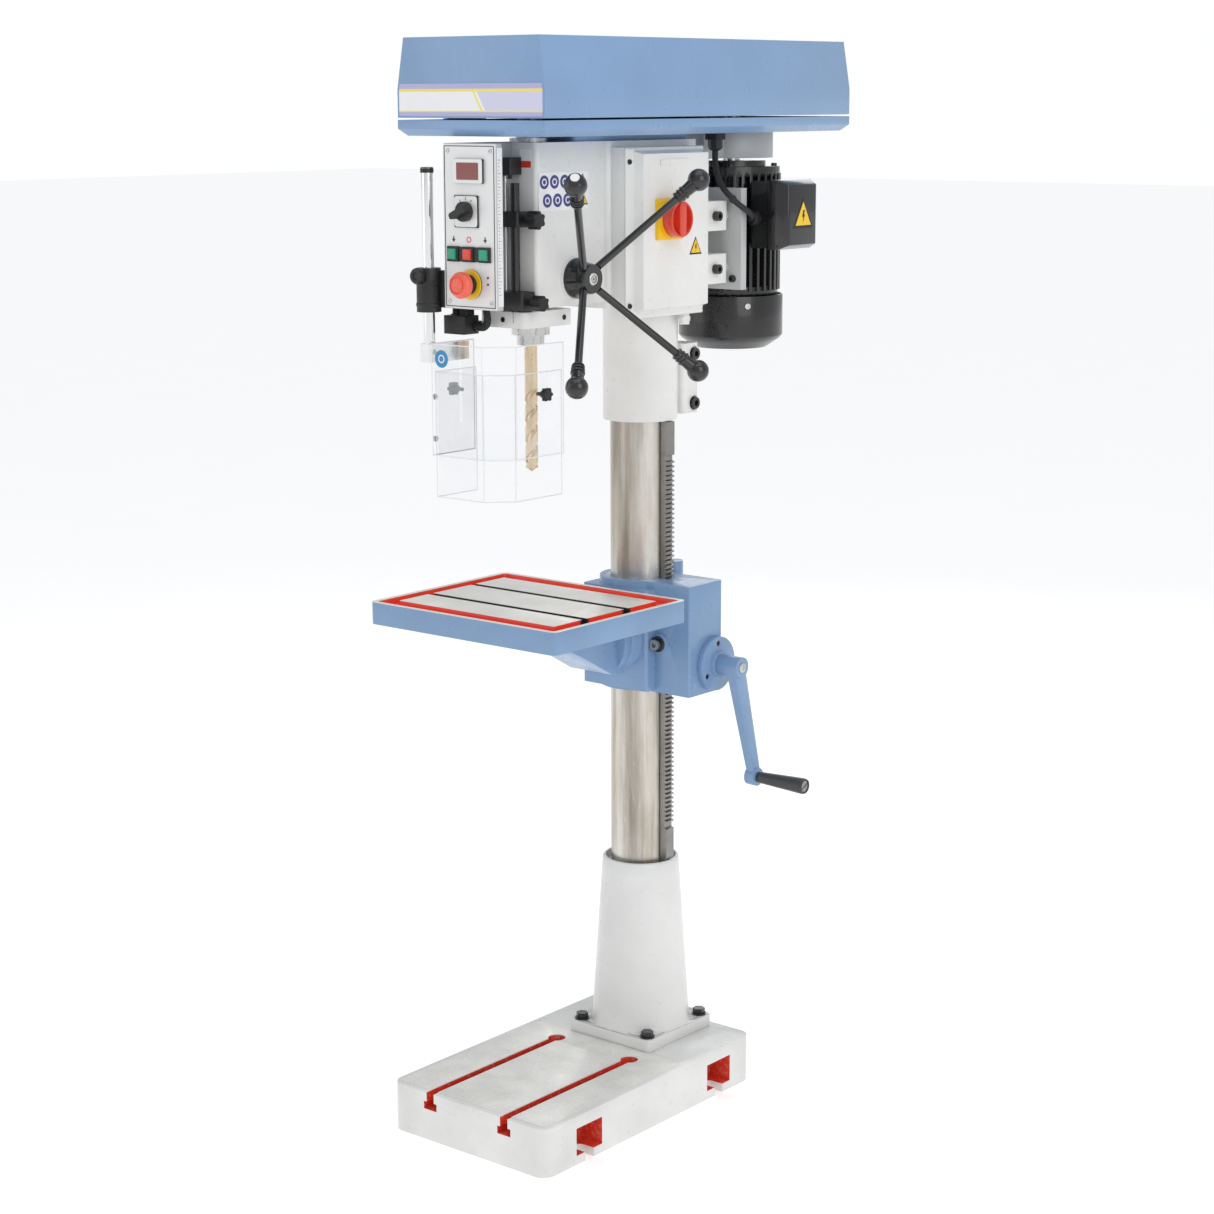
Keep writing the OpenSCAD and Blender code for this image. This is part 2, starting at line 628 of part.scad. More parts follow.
// ---------- belt drive ----------
function groove(r, z) = [[r, z + 1.5], [r, z + 1.7], [r - belt_depth, z + 4.6], [r - belt_depth, z + 12.4],
    [r, z + 15.3], [r, z + 15.5]];
module step_pulley(radii, bore) rotate_extrude() polygon(concat(
    [[bore, pulley_z], [radii[0] - 1, pulley_z]],
    [for (i = [0 : 4]) each groove(radii[i], pulley_z + i * step_h)],
    [[radii[4] - 1, pulley_z + 5 * step_h], [bore, pulley_z + 5 * step_h]]));

module spindle_pulley() color([0.75, 0.76, 0.77]) translate([0, spindle_y, 0]) {
    step_pulley(step_r, 19.9);
    difference() {
        union() {
            rod_z(20, 1604, pulley_z + 5 * step_h + 4);
            rod_z(29.95, 1570, 1606);
        }
        translate([0, 0, 1560]) linear_extrude(200) spline_outline(gap);
        rod_z(17.5, 1560, 1572);
    }
}

module motor_pulley() color([0.75, 0.76, 0.77]) translate([0, motor_y, 0])
    step_pulley([for (i = [4 : -1 : 0]) step_r[i]], 14.02);

module v_belt() color(black) {
    r1 = step_r[belt_step];
    r2 = step_r[4 - belt_step];
    lean = asin((r1 - r2) / (motor_y - spindle_y));
    z = pulley_z + belt_step * step_h + 8.5;
    section = [[-7.6, -3.4], [-7.6, 3.4], [0.4, 6.2], [0.4, -6.2]];
    arc_steps = 28;
    loop = concat(
        [for (k = [0 : arc_steps]) [spindle_y, r1, 180 - lean + k * (180 + 2 * lean) / arc_steps]],
        [for (k = [0 : arc_steps]) [motor_y, r2, lean + k * (180 - 2 * lean) / arc_steps]]);
    points = [for (p = loop, s = section) let (r = p[1] + s[0]) [r * cos(p[2]), p[0] + r * sin(p[2]), z + s[1]]];
    walls = [for (i = [0 : len(loop) - 1], k = [0 : 3]) let (j = (i + 1) % len(loop), m = (k + 1) % 4)
        [4 * i + k, 4 * j + k, 4 * j + m, 4 * i + m]];
    polyhedron(points, walls);
}

tray_bottom = 1610;
tray_top = 1634;
// Convex body through rectangles; each level is [height, inset in X, inset in Y]
module lofted(grow, levels) hull() for (l = levels)
    slab([-cover_hw - grow + l[1], cover_hw + grow - l[1]], [cover_front - grow + l[2], cover_rear + grow - l[2]],
        [l[0] - 0.5, l[0] + 0.5]);

module belt_tray() color(blue) {
    difference() {
        lofted(0, [[tray_bottom + 0.5, 12, 10], [1621, 0, 0], [tray_top - 0.5, 0, 0]]);
        lofted(-sheet, [[tray_bottom + sheet + 0.5, 11, 9], [1622, 0, 0], [tray_top + 1, 0, 0]]);
        rod_z(34, tray_bottom - 1, tray_top, 0, spindle_y);
        rod_z(40, tray_bottom - 1, tray_top, 0, motor_y);
    }
    // Spacer that stands the tray on the head
    slab([-50, 50], [-225, 60], [head_top, tray_bottom + 1], 8);
    // Fixed hinge knuckles and their pins
    for (s = hinge_y) {
        rod_y(5, s - 18, s + 18, hinge_x, hinge_z);
        slab([hinge_x, -cover_hw + 1], [s - 18, s + 18], [hinge_z - 5, hinge_z - 2]);
        rod_y(2.5, s - 46, s + 46, hinge_x, hinge_z);
    }
}

hinge_x = -cover_hw - 6;
hinge_z = 1635.5;
hinge_y = [-250, 230];
module belt_cover() color(blue) {
    low = tray_top + 3;
    difference() {
        lofted(0, [[low + 0.5, 0, 0], [1679, 0, 0], [cover_top - 0.5, 12, 2]]);
        lofted(-sheet, [[low - 1, 0, 0], [1679, 0, 0], [cover_top - sheet - 0.5, 12, 2]]);
    }
    for (s = hinge_y, side = [-1, 1]) difference() {
        union() {
            rod_y(5, s + side * 32 - 13, s + side * 32 + 13, hinge_x, hinge_z);
            slab([hinge_x, -cover_hw + 1], [s + side * 32 - 13, s + side * 32 + 13], [low, low + 3]);
        }
        rod_y(2.5 + run_fit, s - 60, s + 60, hinge_x, hinge_z);
    }
}

// ---------- motor ----------
fin_count = 36;
fin_outer = 84;
fin_inner = 72;
module motor_frame() color(black) translate([0, motor_y, 0]) {
    difference() {
        union() {
            translate([0, 0, 1345]) linear_extrude(195) polygon([for (i = [0 : fin_count - 1], k = [0 : 3])
                let (a = 360 / fin_count * (i + [-0.28, -0.16, 0.16, 0.28][k]), r = k == 1 || k == 2 ? fin_outer : fin_inner)
                r * [cos(a), sin(a)]]);
            rod_z(80, 1338, 1352);
            rod_z(82, 1536, 1552);
            rod_z(58, 1551, 1561);
            slab([-45, 45], [145 - motor_y, -60], [1370, 1510], 6);
            slab([60, 86], [-36, 36], [1430, 1520]);
        }
        rod_z(62, 1350, 1536);
        rod_z(14 + run_fit, 1330, 1570);
    }
    // Stator core with its winding heads
    difference() {
        union() {
            rod_z(62.3, 1385, 1500);
            rod_z(56, 1366, 1520);
        }
        rod_z(38, 1360, 1525);
    }
}

module rotor() color(steel) translate([0, motor_y, 0]) {
    rod_z(14, 1275, pulley_z + 5 * step_h + 3);
    rod_z(37.5, 1388, 1497);
    // Cooling fan
    rod_z(24, 1282, 1310);
    for (i = [0 : 6]) rotate(360 / 7 * i) translate([20, -1.5, 1282]) cube([52, 3, 36]);
}

module fan_cover() color(black) translate([0, motor_y, 0]) difference() {
    rotate_extrude() polygon([
        [0, 1247], [62, 1247], [84, 1262], [89, 1268], [89, 1337], [86.5, 1337], [86.5, 1269], [82.5, 1264.5],
        [61, 1249.6], [0, 1249.6]]);
    for (k = [0 : 3], i = [0 : 5 + 5 * k]) rotate(360 / (6 + 5 * k) * i) translate([12 + 14 * k, 0, 1240])
        cylinder(r = 4, h = 14);
}

module terminal_box() color(black) {
    slab([86, 132], [183, 278], [1420, 1530], 6);
    hull() {
        slab([132, 133], [181, 280], [1418, 1532], 6, $fn = 24);
        slab([149, 150], [189, 272], [1426, 1524], 6, $fn = 24);
    }
    // Cable gland
    rod_y(9, 174, 184, 98, 1469);
    translate([98, 178, 1469]) rotate([90, 0, 0]) cylinder(r = 11, h = 4, $fn = 6);
}

cable_route = [[98, 174, 1469], [98, 171.5, 1469], [98, 169, 1469], [101, 163.5, 1469.5], [110, 156.5, 1471.5],
    [117, 147, 1476], [118.5, 134, 1483], [113, 119, 1493], [101, 109, 1507], [84, 107, 1526], [71, 111, 1548],
    [63, 118, 1568], [61, 121, 1583], [61, 121, 1590]];
module motor_cable() color(black) {
    tube(cable_route, 5, 3);
    // Gland block under the belt tray
    rod_z(9, 1590, tray_bottom, 61, 121);
    slab([48, 74], [108, 134], [1598, tray_bottom], 4);
}

module motor_plate() color([0.72, 0.73, 0.73]) {
    slab([-108, 108], [130, 145], [1354, 1520]);
    slab([-30, 30], [130, 145], [1519, 1607]);
    slab([-30, 30], [130, 185], [1566, 1607]);
    translate([0, motor_y, 0]) difference() {
        rod_z(70, 1566, tray_bottom);
        rod_z(60, 1560, 1602);
        rod_z(30, 1560, tray_bottom + 1);
    }
    for (s = [-1, 1], z = bar_z) rod_y(10, 60, 131, s * bar_x, z);
}

// ---------- electrics ----------
box_y = [-150, 50];
box_z = [1322, 1590];
module electrics_box() color(off_white) {
    difference() {
        slab([body_hw, 88], box_y, box_z);
        slab([body_hw + 3, 89], [box_y[0] + 10, box_y[1] - 4], [box_z[0] + 6, box_z[1] - 6]);
    }
    // Contactor and terminal rail on the back wall
    slab([body_hw + 2, 86], [-110, -40], [1340, 1420]);
    slab([body_hw + 2, 84], [-20, 30], [1340, 1400]);
    // Gland of the mains inlet, with its clamping nut
    rod_z(9, 1304, box_z[0] + 3, 75, 20);
    translate([75, 20, 1309]) cylinder(r = 11.5, h = 8, $fn = 6);
}

module electrics_lid() color(off_white) {
    difference() {
        union() {
            slab([88, 91], box_y, box_z);
            hull() {
                translate([88, box_y[0] + 18, box_z[0] + 10]) cube([1, box_y[1] - box_y[0] - 20, box_z[1] - box_z[0] - 14]);
                translate([107, box_y[0] + 24, box_z[0] + 16]) cube([1, box_y[1] - box_y[0] - 32, box_z[1] - box_z[0] - 26]);
            }
        }
        slab([87, 105], [box_y[0] + 28, box_y[1] - 12], [box_z[0] + 20, box_z[1] - 14]);
        rod_x(5, 100, 110, switch_y, switch_z);
    }
}

switch_y = -65;
switch_z = 1478;
module main_switch_plate() color([0.95, 0.8, 0.1]) {
    difference() {
        slab([108, 114], [switch_y - 32, switch_y + 32], [switch_z - 32, switch_z + 32]);
        rod_x(5, 100, 120, switch_y, switch_z);
    }
    difference() {
        rod_x(30, 113, 119, switch_y, switch_z);
        rod_x(5, 100, 120, switch_y, switch_z);
    }
}

module main_switch_handle() color([0.85, 0.15, 0.12]) {
    rod_x(4.9, 102, 120, switch_y, switch_z);
    // Cupped knob with a grip bar across it
    difference() {
        rod_x(28, 119 + gap, 137, switch_y, switch_z);
        rod_x(25, 127, 138, switch_y, switch_z);
    }
    translate([126, switch_y, switch_z]) rotate([0, 90, 0]) linear_extrude(13) rrect(-25.5, 25.5, -8, 8, 7);
}

// ---------- control box ----------
panel_y = -410;
module control_housing() color([0.55, 0.57, 0.58]) difference() {
    union() {
        slab([-55, 53], [panel_y + 2, -396], [1352, head_top]);
        slab([-55, 5], [-397, nose_front], [1352, head_top]);
    }
    slab([-52, 2], [panel_y + 1, nose_front - 4], [1356, head_top - 4]);
    slab([1, 50], [panel_y + 1, -398], [1356, head_top - 4]);
}

button_x = [-34, -3, 30];
button_z = 1435;
estop = [0, 1390];
dial = [-6, 1499];
module panel_holes() {
    for (x = button_x) translate([x, panel_y + 5, button_z]) cube([16.6, 12, 16.6], center = true);
    rod_y(8.3, panel_y - 1, panel_y + 12, estop[0], estop[1]);
    rod_y(5.3, panel_y - 1, panel_y + 12, dial[0], dial[1]);
}

module control_panel() color([0.86, 0.87, 0.86]) difference() {
    slab([-54, 52], [panel_y, panel_y + 2], [1353, head_top - 1]);
    panel_holes();
    slab([-24, 24], [panel_y - 1, panel_y + 5], [1545, 1573]);
}

module panel_devices() color(black) {
    // Speed display
    difference() {
        slab([-29, 29], [panel_y - 4, panel_y], [1541, 1577], 1);
        slab([-20, 20], [panel_y - 5, panel_y - 2.5], [1548, 1570]);
    }
    slab([-23, 23], [panel_y - 1, panel_y + 11], [1546, 1572]);
    // Bezel of the selector switch
    difference() {
        slab([dial[0] - 24, dial[0] + 24], [panel_y - 3, panel_y], [dial[1] - 24, dial[1] + 24], 1);
        rod_y(5.3, panel_y - 5, panel_y + 1, dial[0], dial[1]);
    }
    // Button bezels
    for (x = button_x) difference() {
        slab([x - 11.5, x + 11.5], [panel_y - 4, panel_y], [button_z - 11.5, button_z + 11.5], 1);
        translate([x, panel_y, button_z]) cube([16.6, 20, 16.6], center = true);
    }
    // Disc and neck of the emergency stop
    difference() {
        union() {
            rod_y(22.5, panel_y - 2, panel_y, estop[0], estop[1]);
            rod_y(13, panel_y - 10, panel_y, estop[0], estop[1]);
        }
        rod_y(10.8, panel_y - 11, panel_y + 1, estop[0], estop[1]);
    }
}

module panel_button(x, hue) color(hue)
    translate([x - 8, panel_y - 7, button_z - 8]) cube([16, 13, 16]);
module start_button_left() panel_button(button_x[0], [0.1, 0.55, 0.3]);
module stop_button() panel_button(button_x[1], [0.85, 0.15, 0.12]);
module start_button_right() panel_button(button_x[2], [0.1, 0.55, 0.3]);

module estop_button() color([0.85, 0.15, 0.12]) {
    translate([estop[0], panel_y - 16, estop[1]]) rotate([90, 0, 0]) rotate_extrude()
        polygon([[0, 0], [14, 0], [20, 2], [20, 9], [18, 13], [13, 16], [0, 17]]);
    rod_y(8, panel_y - 18, panel_y + 4, estop[0], estop[1]);
}

module speed_switch() color(black) {
    translate([dial[0], panel_y - 3 - gap, dial[1]]) rotate([90, 0, 0]) cylinder(r = 15, h = 8);
    translate([dial[0], panel_y - 10, dial[1]]) rotate([90, 0, 0]) linear_extrude(12)
        rotate(25) rrect(-19, 15, -5, 5, 4);
    rod_y(5, panel_y - 5, panel_y + 6, dial[0], dial[1]);
}

// ---------- chuck guard ----------
module guard_holder() color(black) difference() {
    union() {
        rod_z(19, 1345, 1412, post[0], post[1]);
        slab([post[0], -55], [-408, -394], [1352, 1408]);
    }
    rod_z(9 + run_fit, 1344, 1413, post[0], post[1]);
}

module guard_switch() color(black) {
    slab([-80, -36], [-388, -352], [1310, 1338], 4);
    slab([-54, -38], [-378, -362], [1337, 1352]);
    rod_z(6, 1337, 1352, -68, -370);
    // Conduit from the switch up into the control box
    rod_x(7, -37, -30, -360, 1322);
    tube([[-31, -360, 1322], [-22, -361, 1320], [-12, -363, 1325], [-7, -366, 1336], [-7, -368, 1346],
        [-7, -369, 1351.5]], 5, 3, 8);
}

// Chrome post, its end cap and the bracket that carries the clear guard
module guard_post() color([0.85, 0.86, 0.87]) {
    rod_z(9, 1282, 1556, post[0], post[1]);
    rod_z(10, 1555, 1563, post[0], post[1]);
    slab([post[0] - 11, post[0] + 11], [post[1] - 12, post[1] + 12], [1268, 1296], 4);
    slab([post[0] + 5, -70.2], [-424, -340], [1268, 1296]);
}

function guard_outline(i) = [[-70 + i, -330], [-70 + i, -426 + i], [34 - 0.4142 * i, -426 + i],
    [71 - i, -389 + 0.4142 * i], [71 - i, -279]];
module guard_wall(i, z) {
    outer = guard_outline(i);
    inner = guard_outline(i + guard_t);
    translate([0, 0, z[0]]) linear_extrude(z[1] - z[0])
        polygon(concat(outer, [for (k = [len(inner) - 1 : -1 : 0]) inner[k]]));
}

slot_at = [-362, -335];
module upper_guard() color([0.85, 0.92, 0.95, 0.35]) difference() {
    guard_wall(0, [1125, guard_top]);
    slab([-75, -60], [slot_at[0] - 4, slot_at[0] + 4], [slide_z - 52, slide_z + 52]);
    slab([60, 75], [slot_at[1] - 4, slot_at[1] + 4], [slide_z - 52, slide_z + 52]);
}

module lower_guard() color([0.85, 0.92, 0.95, 0.35]) {
    guard_wall(guard_t + 0.5, [guard_bottom, 1255]);
    // Clamp screws and star knobs
    rod_x(3, -84, -64, slot_at[0], slide_z);
    translate([-77, slot_at[0], slide_z]) rotate([0, -90, 0]) star_knob(11, 12);
    rod_x(3, 65, 85, slot_at[1], slide_z);
    translate([78, slot_at[1], slide_z]) rotate([0, 90, 0]) star_knob(11, 12);
}

base_casting();
column_socket();
frame_bolts();
column();
head_casting();
spring_case();
return_spring();
control_housing();
control_panel();
panel_devices();
limit_switch();
rod_guide();
electrics_box();
electrics_lid();
main_switch_plate();
motor_plate();
motor_frame();
fan_cover();
terminal_box();
motor_cable();
belt_tray();
v_belt();
guard_holder();
guard_switch();
rack();
table_bracket();
crank_bearing();
crank_shaft();
crank_arm();
grip_screw();
crank_grip();
lift_shaft();
worm_wheel();
work_table();
lock_lever();
feed_shaft();
feed_hub();
feed_spokes();
feed_knobs();
tap_button();
quill();
quill_clamp();
quill_bearings();
stop_rod();
depth_stop();
spindle();
drill_bit();
spindle_pulley();
rotor();
motor_pulley();
belt_cover();
guard_post();
upper_guard();
lower_guard();
start_button_left();
stop_button();
start_button_right();
estop_button();
speed_switch();
main_switch_handle();
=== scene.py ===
"""Looks of the drill press: materials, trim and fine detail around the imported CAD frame. Units are metres."""
import math

import bmesh
import bpy
from mathutils import Matrix, Vector


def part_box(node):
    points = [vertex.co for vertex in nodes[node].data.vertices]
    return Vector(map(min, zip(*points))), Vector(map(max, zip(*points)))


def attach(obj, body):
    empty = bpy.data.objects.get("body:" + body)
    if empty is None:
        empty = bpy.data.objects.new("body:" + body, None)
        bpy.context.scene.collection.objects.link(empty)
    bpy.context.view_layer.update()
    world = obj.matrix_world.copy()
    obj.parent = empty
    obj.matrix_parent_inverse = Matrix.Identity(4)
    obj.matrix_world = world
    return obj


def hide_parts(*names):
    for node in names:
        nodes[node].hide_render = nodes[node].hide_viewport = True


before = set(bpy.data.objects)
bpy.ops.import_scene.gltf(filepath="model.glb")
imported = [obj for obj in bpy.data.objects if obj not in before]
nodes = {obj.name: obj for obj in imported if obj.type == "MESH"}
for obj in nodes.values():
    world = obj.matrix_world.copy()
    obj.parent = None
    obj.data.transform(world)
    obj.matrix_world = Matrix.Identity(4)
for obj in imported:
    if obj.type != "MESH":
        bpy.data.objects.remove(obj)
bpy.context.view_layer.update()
MM = 0.001


# ---------------------------------------------------------------- material toolkit
class Shade:
    """One procedural material around a Principled shader; its coordinates are the shared frame's."""

    def __init__(self, name, **inputs):
        self.mat = bpy.data.materials.new(name)
        self.mat.use_nodes = True
        self.tree = self.mat.node_tree
        self.bsdf = self.tree.nodes["Principled BSDF"]
        self.coords = self.tree.nodes.new("ShaderNodeTexCoord").outputs["Object"]
        parts = self.tree.nodes.new("ShaderNodeSeparateXYZ")
        self.tree.links.new(self.coords, parts.inputs[0])
        self.x, self.y, self.z = parts.outputs
        for key, value in inputs.items():
            self.set(key.replace("_", " "), value)

    def set(self, socket, value):
        """Gives a Principled input, named in any case, a constant or another node's output."""
        names = {s.name.lower(): s for s in self.bsdf.inputs}
        self.plug(names[socket.lower()], value)

    def plug(self, socket, value):
        if hasattr(value, "node"):
            self.tree.links.new(value, socket)
        elif isinstance(value, tuple) and socket.type == "RGBA":
            socket.default_value = (*value, 1)
        else:
            socket.default_value = value

    def math(self, operation, a, b=0.0):
        n = self.tree.nodes.new("ShaderNodeMath")
        n.operation = operation
        self.plug(n.inputs[0], a)
        self.plug(n.inputs[1], b)
        return n.outputs[0]

    def within(self, value, low, high):
        return self.math("MULTIPLY", self.math("GREATER_THAN", value, low), self.math("LESS_THAN", value, high))

    def all(self, *masks):
        out = masks[0]
        for m in masks[1:]:
            out = self.math("MULTIPLY", out, m)
        return out

    def any(self, *masks):
        out = masks[0]
        for m in masks[1:]:
            out = self.math("MAXIMUM", out, m)
        return out

    def noise(self, scale, detail=4.0, roughness=0.5, stretch=(1, 1, 1)):
        mapping = self.tree.nodes.new("ShaderNodeMapping")
        mapping.inputs["Scale"].default_value = stretch
        self.tree.links.new(self.coords, mapping.inputs["Vector"])
        n = self.tree.nodes.new("ShaderNodeTexNoise")
        n.inputs["Scale"].default_value = scale
        n.inputs["Detail"].default_value = detail
        n.inputs["Roughness"].default_value = roughness
        self.tree.links.new(mapping.outputs[0], n.inputs["Vector"])
        return n.outputs["Fac"]

    def waves(self, scale, turn=(0, 0, 0), distortion=0.5, detail=1.0):
        mapping = self.tree.nodes.new("ShaderNodeMapping")
        mapping.inputs["Rotation"].default_value = turn
        self.tree.links.new(self.coords, mapping.inputs["Vector"])
        n = self.tree.nodes.new("ShaderNodeTexWave")
        n.inputs["Scale"].default_value = scale
        n.inputs["Distortion"].default_value = distortion
        n.inputs["Detail"].default_value = detail
        self.tree.links.new(mapping.outputs[0], n.inputs["Vector"])
        return n.outputs["Fac"]

    def ramp(self, value, low, high, a, b):
        n = self.tree.nodes.new("ShaderNodeMapRange")
        n.inputs["From Min"].default_value = low
        n.inputs["From Max"].default_value = high
        n.inputs["To Min"].default_value = a
        n.inputs["To Max"].default_value = b
        self.plug(n.inputs["Value"], value)
        return n.outputs[0]

    def mix(self, factor, a, b):
        n = self.tree.nodes.new("ShaderNodeMix")
        n.data_type = "RGBA"
        self.plug(n.inputs["Factor"], factor)
        self.plug(n.inputs[6], a)
        self.plug(n.inputs[7], b)
        return n.outputs[2]

    def bump(self, height, distance, strength=1.0):
        n = self.tree.nodes.new("ShaderNodeBump")
        n.inputs["Distance"].default_value = distance
        n.inputs["Strength"].default_value = strength
        self.plug(n.inputs["Height"], height)
        self.set("normal", n.outputs[0])


def shaded(color, factor):
    return tuple(c * factor for c in color)


WHITE = (0.80, 0.80, 0.775)
BLUE = (0.205, 0.335, 0.535)
RED = (0.70, 0.045, 0.018)
BLACK = (0.012, 0.012, 0.013)
IRON = (0.816, 0.804, 0.755)
STEEL = (0.50, 0.48, 0.445)
LILAC = (0.42, 0.40, 0.66)
STRIPE_YELLOW = (0.85, 0.70, 0.10)
FACE_SKIN = 0.0002  # depth that still counts as a milled top face


def cast_paint(s, color, grain=420, depth=0.00035, spread=0.1):
    """Gloss paint over a sand casting: broad waviness, fine grain and faint dirt."""
    dirt = s.ramp(s.noise(9, 5), 0.35, 0.7, 1.0, 0.0)
    tint = s.mix(dirt, shaded(color, 1.0 + spread * 0.3), shaded(color, 1.0 - spread))
    rough = s.ramp(s.noise(60, 3), 0.3, 0.7, 0.26, 0.42)
    fine = s.noise(grain, 3, 0.6)
    broad = s.noise(38, 2)
    height = s.math("ADD", s.math("MULTIPLY", fine, 0.35), broad)
    s.bump(height, depth, 0.55)
    return tint, rough


def simple_paint(name, color, grain=420, depth=0.00035, spread=0.1):
    s = Shade(name, metallic=0.0, coat_weight=0.25)
    tint, rough = cast_paint(s, color, grain, depth, spread)
    s.set("base color", tint)
    s.set("roughness", rough)
    return s.mat


def machined(s, turn):
    """Milled iron: fine feed marks one way, faint crossing marks and blotches."""
    marks = s.waves(115, (0, 0, turn), 1.5, 2.0)
    cross = s.waves(115, (0, 0, turn + math.radians(80)), 1.5, 2.0)
    speck = s.noise(420, 3, 0.7)
    blotch = s.noise(14, 6, 0.65)
    shade = s.math("ADD", s.math("MULTIPLY", marks, 0.16), s.math("MULTIPLY", cross, 0.16))
    shade = s.math("ADD", shade, s.math("MULTIPLY", speck, 0.42))
    shade = s.math("ADD", shade, s.math("MULTIPLY", blotch, 0.42))
    return s.mix(s.ramp(shade, 0.38, 0.78, 0.0, 1.0), shaded(IRON, 0.74), shaded(IRON, 1.25))


def base_material():
    low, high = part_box("base_casting")
    s = Shade("base_paint_and_machined_top", coat_weight=0.2)
    tint, rough = cast_paint(s, WHITE, 300, 0.0006, 0.12)
    side = s.math("ABSOLUTE", s.x)
    # Red paint in the T-slots and the foot pockets, with bounds just outside their walls
    slot = s.all(s.within(side, 0.0645, 0.0955), s.within(s.y, low.y + 0.0003, -0.1155),
                 s.within(s.z, 0.05, 0.0812))
    pocket_y = s.any(s.within(s.y, -0.3718, -0.3072), s.within(s.y, -0.0283, 0.0363))
    pocket = s.all(s.within(side, 0.1242, 0.1662), pocket_y, s.within(s.z, 0.0148, 0.0612))
    worn = s.ramp(s.noise(140, 5, 0.7), 0.40, 0.48, 0.0, 1.0)
    red = s.math("MULTIPLY", s.any(slot, pocket), s.ramp(worn, 0.0, 1.0, 0.86, 1.0))
    top = s.math("GREATER_THAN", s.z, high.z - FACE_SKIN)
    color = s.mix(red, tint, s.mix(s.noise(40), shaded(RED, 0.75), shaded(RED, 1.2)))
    s.set("base color", s.mix(top, color, machined(s, math.radians(38))))
    s.set("metallic", s.math("MULTIPLY", top, 0.35))
    s.set("roughness", s.math("ADD", rough, s.math("MULTIPLY", top, 0.14)))
    return s.mat


def table_material():
    low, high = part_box("work_table")
    s = Shade("table_paint_and_machined_top", coat_weight=0.2)
    tint, rough = cast_paint(s, BLUE)
    side = s.math("ABSOLUTE", s.x)
    top = s.math("GREATER_THAN", s.z, high.z - FACE_SKIN)
    # Red paint in the coolant gutter, painted shade (near black) in the T-slots and a pale rim round the milled face
    gutter = s.all(s.within(s.z, high.z - 0.0095, high.z - FACE_SKIN), s.within(side, 0.0, high.x - 0.0087),
                   s.within(s.y, low.y + 0.0087, -0.1327))
    slot_y = s.any(s.within(s.y, -0.3503, -0.3297), s.within(s.y, -0.2483, -0.2277))
    painted_slot_shade = s.all(slot_y, s.within(side, 0.0, 0.1763), s.within(s.z, high.z - 0.0214, high.z - FACE_SKIN))
    rim = s.any(s.math("GREATER_THAN", side, high.x - 0.0095),
                s.math("LESS_THAN", s.y, low.y + 0.0095), s.math("GREATER_THAN", s.y, -0.1335))
    color = s.mix(gutter, tint, s.mix(s.noise(40), shaded(RED, 0.95), shaded(RED, 1.45)))
    # Painted shade: the T-slots' walls and floor are coloured near black, where shade falls in them
    color = s.mix(painted_slot_shade, color, (0.02, 0.02, 0.022))
    color = s.mix(top, color, machined(s, math.radians(-50)))
    pale = s.math("MULTIPLY", top, rim)
    s.set("base color", s.mix(pale, color, (0.78, 0.77, 0.72)))
    s.set("metallic", s.math("MULTIPLY", top, s.ramp(pale, 0, 1, 0.35, 0.1)))
    s.set("roughness", s.math("ADD", rough, s.math("MULTIPLY", top, 0.12)))
    return s.mat


def column_material():
    s = Shade("ground_steel_column", metallic=0.92)
    streak = s.noise(30, 6, 0.62, (1.0, 1.0, 0.055))
    stain = s.noise(7, 7, 0.7, (1.6, 1.6, 0.5))
    scuff = s.noise(150, 4, 0.6, (1.0, 1.0, 0.15))
    blend = s.math("ADD", s.math("MULTIPLY", streak, 0.55), s.math("MULTIPLY", stain, 0.5))
    brown = s.ramp(blend, 0.46, 0.66, 0.0, 1.0)
    color = s.mix(brown, shaded(STEEL, 1.35), (0.46, 0.385, 0.29))
    dark = s.ramp(s.noise(11, 5, 0.6, (2.6, 2.6, 0.16)), 0.47, 0.68, 0.0, 0.75)
    color = s.mix(dark, color, (0.235, 0.215, 0.185))
    s.set("base color", s.mix(s.ramp(scuff, 0.62, 0.74, 0.0, 0.5), color, (0.80, 0.79, 0.76)))
    s.set("roughness", s.ramp(s.math("ADD", streak, scuff), 0.7, 1.3, 0.24, 0.42))
    s.bump(s.noise(900, 2, 0.5, (0.06, 0.06, 1.0)), 0.00004, 0.35)
    return s.mat


def metal(name, color, rough=0.25, grain=600, stretch=(1, 1, 1), variation=0.18, metallic=1.0):
    s = Shade(name, metallic=metallic)
    n = s.noise(grain, 3, 0.55, stretch)
    s.set("base color", s.mix(s.noise(25, 4), shaded(color, 1 - variation), shaded(color, 1 + variation)))
    s.set("roughness", s.ramp(n, 0.3, 0.7, rough * 0.75, rough * 1.35))
    s.bump(n, 0.00004, 0.25)
    return s.mat


def plastic(name, color, rough=0.4, grain=1400, depth=0.00005, coat=0.0, variation=0.12):
    s = Shade(name, coat_weight=coat)
    s.set("base color", s.mix(s.noise(60, 3), shaded(color, 1 - variation), shaded(color, 1 + variation)))
    s.set("roughness", s.ramp(s.noise(240, 3), 0.3, 0.7, rough * 0.85, rough * 1.2))
    s.bump(s.noise(grain, 2, 0.6), depth, 0.5)
    return s.mat


def clear_material():
    s = Shade("clear_polycarbonate", metallic=0.0)
    haze = s.noise(9, 4)
    s.set("base color", s.mix(s.ramp(haze, 0.4, 0.7, 0.0, 1.0), (0.90, 0.93, 0.97), (0.84, 0.88, 0.93)))
    s.set("roughness", s.ramp(s.noise(30, 4, 0.6), 0.4, 0.7, 0.03, 0.10))
    s.set("alpha", s.ramp(haze, 0.35, 0.7, 0.06, 0.11))
    s.bump(s.noise(14, 2), 0.0002, 0.3)
    return s.mat


